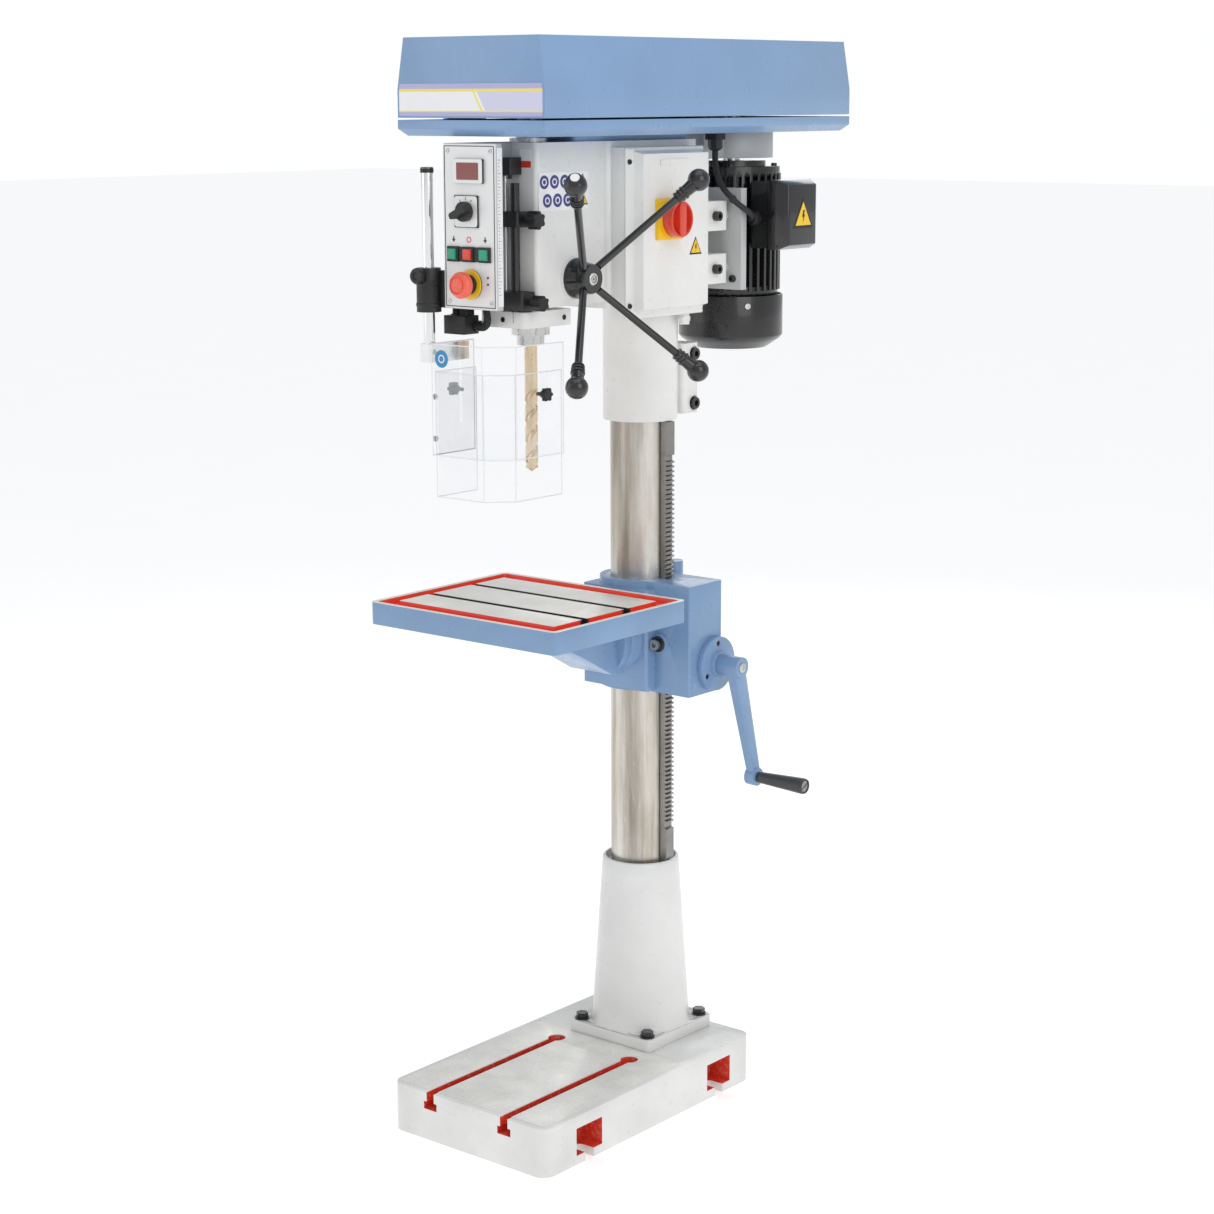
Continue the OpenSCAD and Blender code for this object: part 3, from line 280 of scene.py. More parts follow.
M = {
    "white": simple_paint("cast_white_paint", WHITE, 340, 0.0004, 0.07),
    "smooth_white": simple_paint("sheet_white_paint", shaded(WHITE, 1.02), 900, 0.00012, 0.05),
    "blue": simple_paint("cast_blue_paint", BLUE, 380, 0.0004, 0.08),
    "sheet_blue": simple_paint("sheet_blue_paint", shaded(BLUE, 1.04), 1100, 0.0001, 0.05),
    "base": base_material(),
    "table": table_material(),
    "column": column_material(),
    "steel": metal("bright_steel", STEEL, 0.27, 500, (1, 1, 0.2)),
    "turned": metal("turned_steel", (0.66, 0.66, 0.64), 0.22, 800, (0.1, 0.1, 1)),
    "zinc": metal("zinc_plate", (0.62, 0.62, 0.61), 0.3),
    "chrome": metal("chrome_post", (0.86, 0.86, 0.86), 0.08, 500, (1, 1, 0.1), 0.03),
    "alloy": metal("cast_alloy", (0.66, 0.67, 0.68), 0.38),
    "gold": metal("gold_coating", (0.74, 0.54, 0.29), 0.25),
    "bronze": metal("bronze", (0.62, 0.42, 0.20), 0.3),
    "grey_plate": metal("grey_plate_paint", (0.50, 0.51, 0.51), 0.4, 700, (1, 1, 1), 0.06, 0.15),
    "panel": metal("panel_sheet", (0.76, 0.765, 0.76), 0.4, 900, (1, 1, 0.05), 0.03, 0.25),
    "black": plastic("black_plastic", BLACK, 0.42),
    "gloss_black": plastic("gloss_black_plastic", (0.010, 0.010, 0.011), 0.2, 500, 0.00003, 0.4),
    "black_paint": plastic("black_enamel", (0.011, 0.011, 0.012), 0.28, 300, 0.0002, 0.3),
    "rubber": plastic("black_rubber", (0.016, 0.016, 0.016), 0.6, 900),
    "grip": plastic("grip_grey", (0.045, 0.045, 0.048), 0.38, 900),
    "red": plastic("red_plastic", (0.72, 0.05, 0.022), 0.3, 900, 0.00003, 0.3, 0.06),
    "salmon": plastic("stop_red", (0.85, 0.12, 0.07), 0.3, 900, 0.00003, 0.3, 0.06),
    "green": plastic("green_plastic", (0.010, 0.31, 0.17), 0.3, 900, 0.00003, 0.3, 0.06),
    "yellow": plastic("yellow_plastic", (0.88, 0.55, 0.01), 0.32, 900, 0.00003, 0.2, 0.06),
    "display": plastic("display_window", (0.20, 0.018, 0.010), 0.12, 60, 0.00002, 0.6, 0.2),
    "sign_blue": plastic("sign_blue", (0.05, 0.055, 0.22), 0.4),
    "sticker_blue": plastic("sticker_blue", (0.03, 0.25, 0.50), 0.35),
    "sign_white": plastic("sign_white", (0.82, 0.82, 0.82), 0.4),
    "clear": clear_material(),
    # Pale opaque lines on the clear guard's edges and bends: painted highlights
    "painted_edge_highlight": plastic("painted_edge_highlight", (0.80, 0.82, 0.85), 0.25, 300, 0.00002, 0.3, 0.05),
    "rack": metal("rack_steel", (0.30, 0.29, 0.27), 0.35, 500, (1, 1, 0.2), 0.3),
}

NODE_MATERIALS = {
    "base": ["base_casting"],
    "table": ["work_table"],
    "column": ["column"],
    "rack": ["rack", "grip_screw"],
    "white": ["column_socket", "head_casting", "quill_clamp"],
    "smooth_white": ["electrics_box", "electrics_lid"],
    "blue": ["table_bracket", "crank_bearing", "crank_arm"],
    "sheet_blue": ["belt_tray", "belt_cover"],
    "steel": ["return_spring", "lift_shaft", "feed_shaft", "crank_shaft"],
    "turned": ["quill", "spindle", "rotor"],
    "zinc": ["quill_bearings"],
    "alloy": ["spindle_pulley", "motor_pulley"],
    "gold": ["drill_bit"],
    "bronze": ["worm_wheel"],
    "chrome": ["guard_post"],
    "grey_plate": ["motor_plate", "control_housing"],
    "panel": ["control_panel", "tap_button"],
    "black": ["limit_switch", "rod_guide", "depth_stop", "guard_holder", "guard_switch", "panel_devices",
              "speed_switch"],
    "black_paint": ["frame_bolts", "spring_case", "motor_frame", "fan_cover", "lock_lever"],
    "gloss_black": ["feed_hub", "feed_spokes", "feed_knobs", "stop_rod", "terminal_box"],
    "rubber": ["motor_cable", "v_belt"],
    "grip": ["crank_grip"],
    "clear": ["upper_guard", "lower_guard"],
    "red": ["stop_button", "main_switch_handle"],
    "salmon": ["estop_button"],
    "green": ["start_button_left", "start_button_right"],
    "yellow": ["main_switch_plate"],
}


def smooth_by_angle(mesh, degrees):
    """Smooth shading with the edges sharper than the angle kept crisp."""
    mesh.polygons.foreach_set("use_smooth", [True] * len(mesh.polygons))
    mesh.set_sharp_from_angle(angle=math.radians(degrees))


def angle_smoother(degrees):
    """Geometry nodes that smooth the faces and keep edges sharper than the angle crisp."""
    tree = bpy.data.node_groups.new("smooth_by_angle", "GeometryNodeTree")
    for way in ("INPUT", "OUTPUT"):
        tree.interface.new_socket("Geometry", in_out=way, socket_type="NodeSocketGeometry")
    start, end = tree.nodes.new("NodeGroupInput"), tree.nodes.new("NodeGroupOutput")
    angle = tree.nodes.new("GeometryNodeInputMeshEdgeAngle")
    sharp = tree.nodes.new("FunctionNodeCompare")
    sharp.data_type = "FLOAT"
    sharp.operation = "GREATER_THAN"
    sharp.inputs[1].default_value = math.radians(degrees)
    tree.links.new(angle.outputs[0], sharp.inputs[0])
    faces = tree.nodes.new("GeometryNodeSetShadeSmooth")
    faces.domain = "FACE"
    faces.inputs["Shade Smooth"].default_value = True
    edges = tree.nodes.new("GeometryNodeSetShadeSmooth")
    edges.domain = "EDGE"
    edges.inputs["Shade Smooth"].default_value = False
    tree.links.new(start.outputs[0], faces.inputs["Geometry"])
    tree.links.new(faces.outputs[0], edges.inputs["Geometry"])
    tree.links.new(sharp.outputs[0], edges.inputs["Selection"])
    tree.links.new(edges.outputs[0], end.inputs[0])
    return tree


def weld(obj):
    """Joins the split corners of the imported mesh, so that bevels and smooth shading see its true edges."""
    m = obj.modifiers.new("join_faces", "WELD")
    m.merge_threshold = 0.00001


def bevel(obj, width):
    m = obj.modifiers.new("edge_bevel", "BEVEL")
    m.width = width
    m.segments = 2
    m.limit_method = "ANGLE"
    m.angle_limit = math.radians(35)
    m.use_clamp_overlap = True


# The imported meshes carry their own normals, which would hide the smoothing added below
for key, names in NODE_MATERIALS.items():
    for node_name in names:
        data = nodes[node_name].data
        data.materials.clear()
        data.materials.append(M[key])
        if "custom_normal" in data.attributes:
            data.attributes.remove(data.attributes["custom_normal"])

BEVELS = {
    "base_casting": 0.0025, "column_socket": 0.0015, "head_casting": 0.002, "table_bracket": 0.0025,
    "crank_arm": 0.0018, "work_table": 0.0018, "electrics_box": 0.0015, "electrics_lid": 0.0025,
    "motor_plate": 0.0012, "quill_clamp": 0.0012, "rod_guide": 0.001, "depth_stop": 0.001,
    "control_housing": 0.0008, "guard_switch": 0.0012, "guard_holder": 0.0012, "terminal_box": 0.0012,
    "belt_cover": 0.0012, "belt_tray": 0.0012, "panel_devices": 0.0006, "estop_button": 0.0008,
    "speed_switch": 0.0008, "main_switch_handle": 0.0014, "start_button_left": 0.0008, "stop_button": 0.0008,
    "start_button_right": 0.0008, "crank_bearing": 0.0012, "limit_switch": 0.0008, "motor_frame": 0.0006,
    "crank_grip": 0.0008, "fan_cover": 0.0008,
}
smoother = angle_smoother(30)
for node_name, node in nodes.items():
    weld(node)
    if node_name in BEVELS:
        bevel(node, BEVELS[node_name])
    node.modifiers.new("smooth_by_angle", "NODES").node_group = smoother


# ---------------------------------------------------------------- mesh toolkit
def piece(name, bm, material, body, angle=35):
    """Turns a bmesh into a named piece that rides on a body."""
    mesh = bpy.data.meshes.new(name)
    bmesh.ops.recalc_face_normals(bm, faces=bm.faces)
    bm.to_mesh(mesh)
    bm.free()
    mesh.materials.append(M[material] if isinstance(material, str) else material)
    smooth_by_angle(mesh, angle)
    obj = bpy.data.objects.new(name, mesh)
    bpy.context.scene.collection.objects.link(obj)
    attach(obj, body)
    return obj


def frame_at(origin, axis):
    """A matrix whose +Z points along axis at origin, in metres."""
    turn = Vector(axis).normalized().to_track_quat("Z", "Y").to_matrix().to_4x4()
    return Matrix.Translation(Vector(origin)) @ turn


def lathe(bm, profile, matrix, steps=32):
    """Revolves (radius, height) points around the matrix's Z; radii of zero close the ends."""
    rings = []
    for r, h in profile:
        if r <= 1e-7:
            rings.append([bm.verts.new(matrix @ Vector((0, 0, h)))])
        else:
            rings.append([bm.verts.new(matrix @ Vector((r * math.cos(a), r * math.sin(a), h)))
                          for a in (2 * math.pi * k / steps for k in range(steps))])
    for a, b in zip(rings, rings[1:]):
        for k in range(steps):
            j = (k + 1) % steps
            if len(a) == 1 and len(b) > 1:
                bm.faces.new((a[0], b[k], b[j]))
            elif len(b) == 1 and len(a) > 1:
                bm.faces.new((a[k], b[0], a[j]))
            elif len(a) > 1 and len(b) > 1:
                bm.faces.new((a[k], b[k], b[j], a[j]))


def prism(bm, outline, depth, matrix, chamfer=0.0):
    """Extrudes a closed (x, y) outline along the matrix's +Z, with a chamfered far edge."""
    cx = sum(p[0] for p in outline) / len(outline)
    cy = sum(p[1] for p in outline) / len(outline)

    def ring(h, inset):
        out = []
        for x, y in outline:
            d = math.hypot(x - cx, y - cy) or 1.0
            k = 1 - inset / d
            out.append(bm.verts.new(matrix @ Vector((cx + (x - cx) * k, cy + (y - cy) * k, h))))
        return out

    rings = [ring(0, 0), ring(depth - chamfer, 0)]
    if chamfer:
        rings.append(ring(depth, chamfer))
    n = len(outline)
    for a, b in zip(rings, rings[1:]):
        for k in range(n):
            bm.faces.new((a[k], a[(k + 1) % n], b[(k + 1) % n], b[k]))
    bm.faces.new(rings[0][::-1])
    bm.faces.new(rings[-1])


def round_rect(w, h, r, steps=5):
    """The outline of a w by h rectangle about the origin, with corners of radius r."""
    pts = []
    for cx, cy, start in ((w / 2 - r, h / 2 - r, 0), (-w / 2 + r, h / 2 - r, 90),
                          (-w / 2 + r, -h / 2 + r, 180), (w / 2 - r, -h / 2 + r, 270)):
        for k in range(steps + 1):
            a = math.radians(start + 90 * k / steps)
            pts.append((cx + r * math.cos(a), cy + r * math.sin(a)))
    return pts


def holed_square(bm, half, hole, depth, matrix, steps=64, power=14):
    """A rounded square plate with a round hole through its middle."""
    rings = []
    for z, outer in ((0, False), (0, True), (depth, True), (depth, False)):
        ring = []
        for k in range(steps):
            c, s = math.cos(2 * math.pi * k / steps), math.sin(2 * math.pi * k / steps)
            r = half / (abs(c) ** power + abs(s) ** power) ** (1 / power) if outer else hole
            ring.append(bm.verts.new(matrix @ Vector((r * c, r * s, z))))
        rings.append(ring)
    for i in range(4):
        a, b = rings[i], rings[(i + 1) % 4]
        for k in range(steps):
            j = (k + 1) % steps
            bm.faces.new((a[k], a[j], b[j], b[k]))


def disc(r, steps=28):
    return [(r * math.cos(2 * math.pi * k / steps), r * math.sin(2 * math.pi * k / steps)) for k in range(steps)]


def screw_head(bm, at, axis, r, h):
    """Domed cap with a socket: a ring wall, a rolled edge and a sunk floor."""
    profile = [(0, 0), (r, 0), (r, h * 0.65), (r * 0.88, h), (r * 0.5, h), (r * 0.46, h * 0.4), (0, h * 0.4)]
    lathe(bm, profile, frame_at(at, axis), 24)


def sweep(bm, points, radius, sides=12, wave=0.0, pitch=0.0):
    """A closed tube along points; wave and pitch give it corrugations."""
    length = 0.0
    prev = None
    up = Vector((0.2, 0.1, 1))  # any direction that no route follows
    for i, p in enumerate(points):
        t = (points[min(i + 1, len(points) - 1)] - points[max(i - 1, 0)]).normalized()
        if i:
            length += (p - points[i - 1]).length
        u = t.cross(up)
        u = u.normalized() if u.length > 1e-4 else Vector((1, 0, 0))
        v = t.cross(u)
        r = radius + (wave * math.cos(2 * math.pi * length / pitch) if pitch else 0.0)
        ring = [bm.verts.new(p + r * (math.cos(a) * u + math.sin(a) * v))
                for a in (2 * math.pi * k / sides for k in range(sides))]
        if prev:
            for k in range(sides):
                j = (k + 1) % sides
                bm.faces.new((prev[k], prev[j], ring[j], ring[k]))
        else:
            bm.faces.new(ring[::-1])
        prev = ring
    bm.faces.new(prev)


def curve_through(points, step=0.002):
    """Catmull-Rom points every step along a route, given in millimetres."""
    p = [Vector(q) * MM for q in points]
    out = []
    for i in range(len(p) - 1):
        a, b, c, d = p[max(i - 1, 0)], p[i], p[i + 1], p[min(i + 2, len(p) - 1)]
        n = max(2, int((c - b).length / step))
        for k in range(n):
            t = k / n
            out.append(0.5 * (2 * b + (c - a) * t + (2 * a - 5 * b + 4 * c - d) * t * t
                              + (3 * b - a - 3 * c + d) * t ** 3))
    out.append(p[-1])
    return out


# ---------------------------------------------------------------- places shared by several parts
RIGHT, LEFT, FRONT, UP = (1, 0, 0), (-1, 0, 0), (0, -1, 0), (0, 0, 1)
ESTOP = (0.0, 1.390)  # x and z of the emergency stop on the panel
SELECTOR = (-0.006, 1.499)  # x and z of the selector switch
BUTTON_Z = 1.435
DISPLAY_Z = 1.559
POST_AXIS = (-0.084, -0.414)  # x and y of the guard's post
CRANK_AXIS = (0.020, 0.747)  # y and z of the table crank
MOTOR_Y = 0.248
HEAD_SIDE_X = 0.055
TAP_SPOKE = 135  # degrees of the spoke whose ball carries the push button
GUARD_SHEET = 0.003  # thickness of the clear guard's sheets
PRINT_T = 0.0002  # thickness of printed rings and marks


def ring_profile(inner, outer, low, high):
    """A closed square section for lathe."""
    return [(inner, low), (outer, low), (outer, high), (inner, high), (inner, low)]


# ---------------------------------------------------------------- control panel
def panel_trim():
    low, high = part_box("control_panel")
    mid = (low + high) / 2
    face = low.y

    def on_panel(x, z, lift=0.0):
        """Panel plane: local X is the machine's +X and local Y is up."""
        return Matrix(((1, 0, 0, x), (0, 0, -1, face - lift), (0, 1, 0, z), (0, 0, 0, 1)))

    # Printed border line and the corner screws
    bm = bmesh.new()
    w, h, line = (high.x - low.x) - 0.006, (high.z - low.z) - 0.006, 0.0012
    for dx, dz, sx, sz in ((0, h / 2, w, line), (0, -h / 2, w, line), (w / 2, 0, line, h), (-w / 2, 0, line, h)):
        prism(bm, round_rect(sx, sz, 0.0003, 1), 0.0004, on_panel(mid.x + dx, mid.z + dz))
    piece("panel_border", bm, "black", "stand")
    bm = bmesh.new()
    for sx in (-1, 1):
        for sz in (-1, 1):
            at = (mid.x + sx * (w / 2 - 0.007), face, mid.z + sz * (h / 2 - 0.007))
            screw_head(bm, at, FRONT, 0.0032, 0.002)
    piece("panel_screws", bm, "zinc", "stand")

    # Display: grey bezel with a red window
    bm = bmesh.new()
    prism(bm, round_rect(0.058, 0.036, 0.003), 0.0012, on_panel(0, DISPLAY_Z, 0.0040), 0.0005)
    piece("display_bezel", bm, "panel", "stand")
    bm = bmesh.new()
    prism(bm, round_rect(0.044, 0.0255, 0.001, 2), 0.0005, on_panel(0, DISPLAY_Z, 0.0052))
    piece("display_window", bm, "display", "stand")

    # Selector: brushed plate with three position marks
    bm = bmesh.new()
    holed_square(bm, 0.023, 0.0056, 0.00025, on_panel(*SELECTOR, 0.003))
    piece("selector_plate", bm, "panel", "stand")
    bm = bmesh.new()
    mark_r = 0.0195
    for a in (math.radians(-35), 0.0, math.radians(35)):
        m = on_panel(SELECTOR[0] + mark_r * math.sin(a), SELECTOR[1] + mark_r * math.cos(a), 0.0032)
        prism(bm, round_rect(0.0012, 0.004, 0.0004, 1), PRINT_T, m @ Matrix.Rotation(-a, 4, "Z"))
    piece("selector_marks", bm, "black", "stand")

    # Marks above the buttons: plain arrows and a ring
    bm = bmesh.new()
    arrow = [(0, -0.004), (0.0035, 0.001), (0.001, 0.001), (0.001, 0.005), (-0.001, 0.005), (-0.001, 0.001),
             (-0.0035, 0.001)]
    for x in (-0.034, 0.030):
        prism(bm, arrow, 0.0003, on_panel(x, 1.4565))
    piece("spin_marks", bm, "black", "stand")
    bm = bmesh.new()
    lathe(bm, ring_profile(0.0031, 0.0047, 0, 0.0004), frame_at((-0.003, face, 1.457), FRONT), 28)
    piece("stop_mark", bm, "red", "stand")
    bm = bmesh.new()
    for dz in (0.004, -0.006):
        lathe(bm, [(0, 0), (0.0016, 0), (0.0016, 0.0012), (0, 0.0016)], frame_at((0.035, face, 1.397 + dz), FRONT), 16)
    piece("panel_dots", bm, "black", "stand")

    # Emergency stop: yellow disc, ribbed neck and the sleeve behind its moving head
    bm = bmesh.new()
    m = frame_at((ESTOP[0], face, ESTOP[1]), FRONT)
    lathe(bm, [(0.0135, 0.0020), (0.0228, 0.0020), (0.0228, 0.0022), (0.0220, 0.0030), (0.0135, 0.0030),
               (0.0135, 0.0020)], m, 48)
    piece("estop_disc", bm, "yellow", "stand")
    bm = bmesh.new()
    ribs = [(0.0131, 0.0031)]
    for k in range(3):
        ribs += [(0.0146, 0.0036 + 0.0020 * k), (0.0134, 0.0046 + 0.0020 * k)]
    ribs += [(0.0131, 0.0098), (0.0131, 0.0031)]
    lathe(bm, ribs, m, 40)
    piece("estop_neck", bm, "rubber", "stand")
    bm = bmesh.new()
    lathe(bm, ring_profile(0.0081, 0.0101, 0.0062, 0.0158), m, 40)
    piece("estop_sleeve", bm, "black", "estop_button_body")
    bm = bmesh.new()
    top = frame_at((ESTOP[0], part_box("estop_button")[0].y, ESTOP[1]), FRONT)
    lathe(bm, [(0.0122, 0.0002), (0.0128, 0.0008), (0.0134, 0.0002), (0.0128, -0.0008), (0.0122, 0.0002)], top, 40)
    piece("estop_ring", bm, "red", "estop_button_body")

    # Black fillers between the push buttons
    bm = bmesh.new()
    for x, w in ((-0.0185, 0.0084), (0.0135, 0.0104)):
        prism(bm, round_rect(w, 0.022, 0.0006, 2), 0.0022, on_panel(x, BUTTON_Z), 0.0004)
    piece("button_row", bm, "black", "stand")


def scale_and_rod():
    """Depth scale on the control box's right side and a slim guide rod behind it."""
    low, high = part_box("control_housing")
    mid_z = (low.z + high.z) / 2
    y0, y1 = -0.4075, -0.3965
    scale_t = 0.0008

    def on_side(y, z, lift=0.0):
        """Plane of the box's right side: local X is the machine's +Y and local Y is up."""
        return Matrix(((0, 0, 1, high.x + lift), (1, 0, 0, y), (0, 1, 0, z), (0, 0, 0, 1)))

    bm = bmesh.new()
    prism(bm, round_rect(y1 - y0, 0.236, 0.0006, 1), scale_t, on_side((y0 + y1) / 2, mid_z))
    piece("depth_scale", bm, "sign_white", "stand")
    bm = bmesh.new()
    for k in range(41):
        length = 0.006 if k % 4 == 0 else (0.0042 if k % 2 == 0 else 0.0028)
        m = on_side(y0 + 0.001 + length / 2, mid_z - 0.1 + 0.005 * k, scale_t)
        prism(bm, round_rect(length, 0.0006, 0.0002, 1), PRINT_T, m)
    piece("scale_marks", bm, "black", "stand")
    bm = bmesh.new()
    lathe(bm, [(0, 1.377), (0.0022, 1.377), (0.0022, 1.550), (0, 1.550)], Matrix.Translation((0.0076, -0.338, 0)), 20)
    piece("guide_rod", bm, "chrome", "stand")


# ---------------------------------------------------------------- labels and decals
def side_frame(at, normal):
    """A matrix whose local Y is up and whose local Z is the outward normal, which isn't vertical."""
    z = Vector(normal).normalized()
    y = Vector(UP)
    y = (y - z * y.dot(z)).normalized()
    m = Matrix((y.cross(z), y, z)).transposed().to_4x4()
    return Matrix.Translation(Vector(at)) @ m


def plate_on(name, at, normal, w, h, t, material, r=0.001):
    """A thin rounded plate fixed to the stand."""
    bm = bmesh.new()
    prism(bm, round_rect(w, h, r, 3), t, side_frame(at, normal), min(t * 0.4, 0.0003))
    piece(name, bm, material, "stand")


def triangle(size):
    return [(-size / 2, -size * 0.38), (size / 2, -size * 0.38), (0, size * 0.5)]


def warning_triangle(name, at, normal, size):
    """A yellow triangle with a black edge and a plain zigzag mark."""
    bm = bmesh.new()
    prism(bm, triangle(size), 0.0004, side_frame(at, normal))
    piece(name + "_edge", bm, "black", "stand")
    lifted = side_frame(Vector(at) + Vector(normal) * 0.0001, normal)
    bm = bmesh.new()
    prism(bm, triangle(size * 0.78), 0.0007, lifted)
    piece(name, bm, "yellow", "stand")
    bm = bmesh.new()
    k = size * 0.5
    mark = [(-0.02, 0.30), (0.16, 0.30), (0.05, 0.04), (0.15, 0.04), (-0.05, -0.46), (-0.01, -0.10), (-0.13, -0.10)]
    prism(bm, [(px * k, py * k) for px, py in mark], 0.0009, lifted)
    piece(name + "_mark", bm, "black", "stand")


def labels():
    plate_on("sign_plate", (HEAD_SIDE_X, -0.2570, 1.5260), RIGHT, 0.118, 0.058, 0.0004, "sign_white")
    sign_x = HEAD_SIDE_X + 0.0004
    disc_t = 0.0003
    bm = bmesh.new()
    ring = bmesh.new()
    for z, row in ((1.5405, (-0.3030, -0.2790, -0.2550)), (1.5125, (-0.2960, -0.2720, -0.2480))):
        for y in row:
            prism(bm, disc(0.0104, 32), disc_t, side_frame((sign_x, y, z), RIGHT))
            lathe(ring, ring_profile(0.0036, 0.0056, 0, PRINT_T), side_frame((sign_x + disc_t, y, z), RIGHT), 24)
    piece("sign_discs", bm, "sign_blue", "stand")
    piece("sign_rings", ring, "sign_white", "stand")
    for k, z in enumerate((1.5400, 1.5130)):
        warning_triangle("sign_triangle_%d" % k, (sign_x, -0.2120, z), RIGHT, 0.024)
    plate_on("small_label", (0.0330, -0.320, 1.5765), FRONT, 0.023, 0.028, 0.0005, "sign_white")
    plate_on("small_label_band", (0.0330, -0.3205, 1.5675), FRONT, 0.023, 0.010, 0.0003, "red")
    lid_x, box_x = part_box("electrics_lid")[1].x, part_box("terminal_box")[1].x
    warning_triangle("lid_triangle", (lid_x, 0.0070, 1.4310), RIGHT, 0.032)
    warning_triangle("motor_triangle", (box_x, 0.2310, 1.4740), RIGHT, 0.056)
    guard_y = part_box("upper_guard")[0].y
    sticker_t = 0.0004
    bm = bmesh.new()
    prism(bm, disc(0.0135, 36), sticker_t, side_frame((-0.0485, guard_y, 1.2755), FRONT))
    piece("guard_sticker", bm, "sticker_blue", "guard")
    bm = bmesh.new()
    m = side_frame((-0.0485, guard_y - sticker_t, 1.2755), FRONT)
    lathe(bm, ring_profile(0.0045, 0.0065, 0, PRINT_T), m, 30)
    piece("guard_sticker_ring", bm, "sign_white", "guard")


def cover_decal():
    """Plain bands across the front of the belt guard: lilac, yellow and white."""
    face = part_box("belt_cover")[0].y
    z0, z1 = 1.640, 1.688
    s = Shade("decal_bands", coat_weight=0.3, roughness=0.3)
    slant = s.math("ADD", s.x, s.math("MULTIPLY", s.z, 0.6))
    color = s.mix(s.within(slant, 1.021, 2.0), (0.82, 0.82, 0.84), (0.60, 0.60, 0.76))
    color = s.mix(s.within(slant, 1.012, 1.016), color, STRIPE_YELLOW)
    for low, high, hue in ((z0, z0 + 0.006, LILAC), (z0 + 0.006, z0 + 0.008, STRIPE_YELLOW),
                           (z0 + 0.036, z0 + 0.040, STRIPE_YELLOW), (z0 + 0.040, z1, LILAC)):
        color = s.mix(s.within(s.z, low, high), color, hue)
    s.set("base color", s.mix(s.ramp(s.noise(40, 2), 0.4, 0.7, 0.0, 0.08), color, (0.6, 0.6, 0.6)))
    s.bump(s.noise(900, 2), 0.00002, 0.2)
    taper_start, taper_height = 1.679, 0.078
    half_width = 0.1445

    def edge(side, z, lift):
        """A point on the cover's front, which narrows and leans back above taper_start."""
        above = max(0.0, z - taper_start) / taper_height
        return Vector((side * (half_width - above * 0.012), face + above * 0.002 - lift, z))

    bm = bmesh.new()
    levels = (z0, taper_start, z1)
    front = [[bm.verts.new(edge(side, z, 0.0007)) for side in (-1, 1)] for z in levels]
    back = [[bm.verts.new(edge(side, z, 0.0002)) for side in (-1, 1)] for z in levels]
    for a in range(2):
        bm.faces.new((front[a][0], front[a][1], front[a + 1][1], front[a + 1][0]))
        bm.faces.new((back[a][1], back[a][0], back[a + 1][0], back[a + 1][1]))
        for k in range(2):
            bm.faces.new((front[a][k], front[a + 1][k], back[a + 1][k], back[a][k]))
    bm.faces.new((front[0][0], back[0][0], back[0][1], front[0][1]))
    bm.faces.new((front[2][1], back[2][1], back[2][0], front[2][0]))
    piece("cover_decal", bm, s.mat, "lid", 20)


# ---------------------------------------------------------------- fasteners and small parts
def heading(degrees):
    """A level unit vector, counted from +X towards +Y."""
    a = math.radians(degrees)
    return Vector((math.cos(a), math.sin(a), 0))


def hub_axis():
    """The x of the feed hub's outer face, then the y and z of its axis."""
    low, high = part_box("feed_hub")
    return high.x, (low.y + high.y) / 2, (low.z + high.z) / 2


def screws(name, material, body, r, h, heads):
    """One piece made of equal screw heads, each given by its place and axis."""
    bm = bmesh.new()
    for at, axis in heads:
        screw_head(bm, at, axis, r, h)
    piece(name, bm, material, body)


def fasteners():
    lid_low, lid_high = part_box("electrics_lid")
    screws("lid_screws", "black_paint", "stand", 0.0042, 0.003,
           [((0.091, lid_low.y + 0.0085, z), RIGHT) for z in (lid_low.z + 0.022, lid_high.z - 0.022)])
    plate_on("lid_ledge", (lid_high.x - 0.001, -0.05, lid_high.z - 0.024), RIGHT, 0.070, 0.010, 0.003,
             "smooth_white", 0.002)
    screws("terminal_screws", "gloss_black", "stand", 0.0055, 0.004,
           [((0.1405, y, z), RIGHT) for y in (0.1875, 0.2735) for z in (1.4245, 1.5255)])
    fan_center = Vector((0, MOTOR_Y, 1.321))
    screws("fan_cover_screws", "zinc", "stand", 0.0055, 0.003,
           [(fan_center + heading(a) * 0.0888, heading(a)) for a in (-35, 55, 145, 235)])
    crank_y, crank_z = CRANK_AXIS
    bolt_circle = 0.034
    places = [(0.1435, crank_y + bolt_circle * math.cos(a), crank_z + bolt_circle * math.sin(a))
              for a in map(math.radians, (90, 210, 330))]
    screws("bearing_screws", "black_paint", "table_carrier", 0.0044, 0.0045,
           [(at, RIGHT) for at in places])
    screws("crank_end_screw", "zinc", "crank", 0.0085, 0.002, [((0.198, *CRANK_AXIS), RIGHT)])
    hub_x, hub_y, hub_z = hub_axis()
    bm = bmesh.new()
    lathe(bm, [(0.0, 0.0), (0.0098, 0.0), (0.0098, 0.0045), (0.0088, 0.0055), (0.0062, 0.0055), (0.0058, 0.0025),
               (0.0045, 0.0025), (0.0045, 0.005), (0.0022, 0.005), (0.0022, 0.001), (0, 0.001)],
          frame_at((hub_x - 0.004, hub_y, hub_z), RIGHT), 36)
    piece("hub_screw", bm, "turned", "feed_wheel")
    screws("clamp_block_screws", "black_paint", "quill_group", 0.0042, 0.0012,
           [((0.004, -0.343, 1.3325), FRONT), ((0.050, -0.252, 1.3325), RIGHT)])
    corners = ((0.092, 1.372), (-0.092, 1.372), (0.092, 1.502), (-0.092, 1.502))
    screws("motor_plate_screws", "black_paint", "stand", 0.0062, 0.005,
           [((x, 0.130, z), FRONT) for x, z in corners])
    screws("guard_edge_screws", "zinc", "guard", 0.0046, 0.004,
           [((-0.070, -0.418, z), LEFT) for z in (1.284, 1.215, 1.150)])


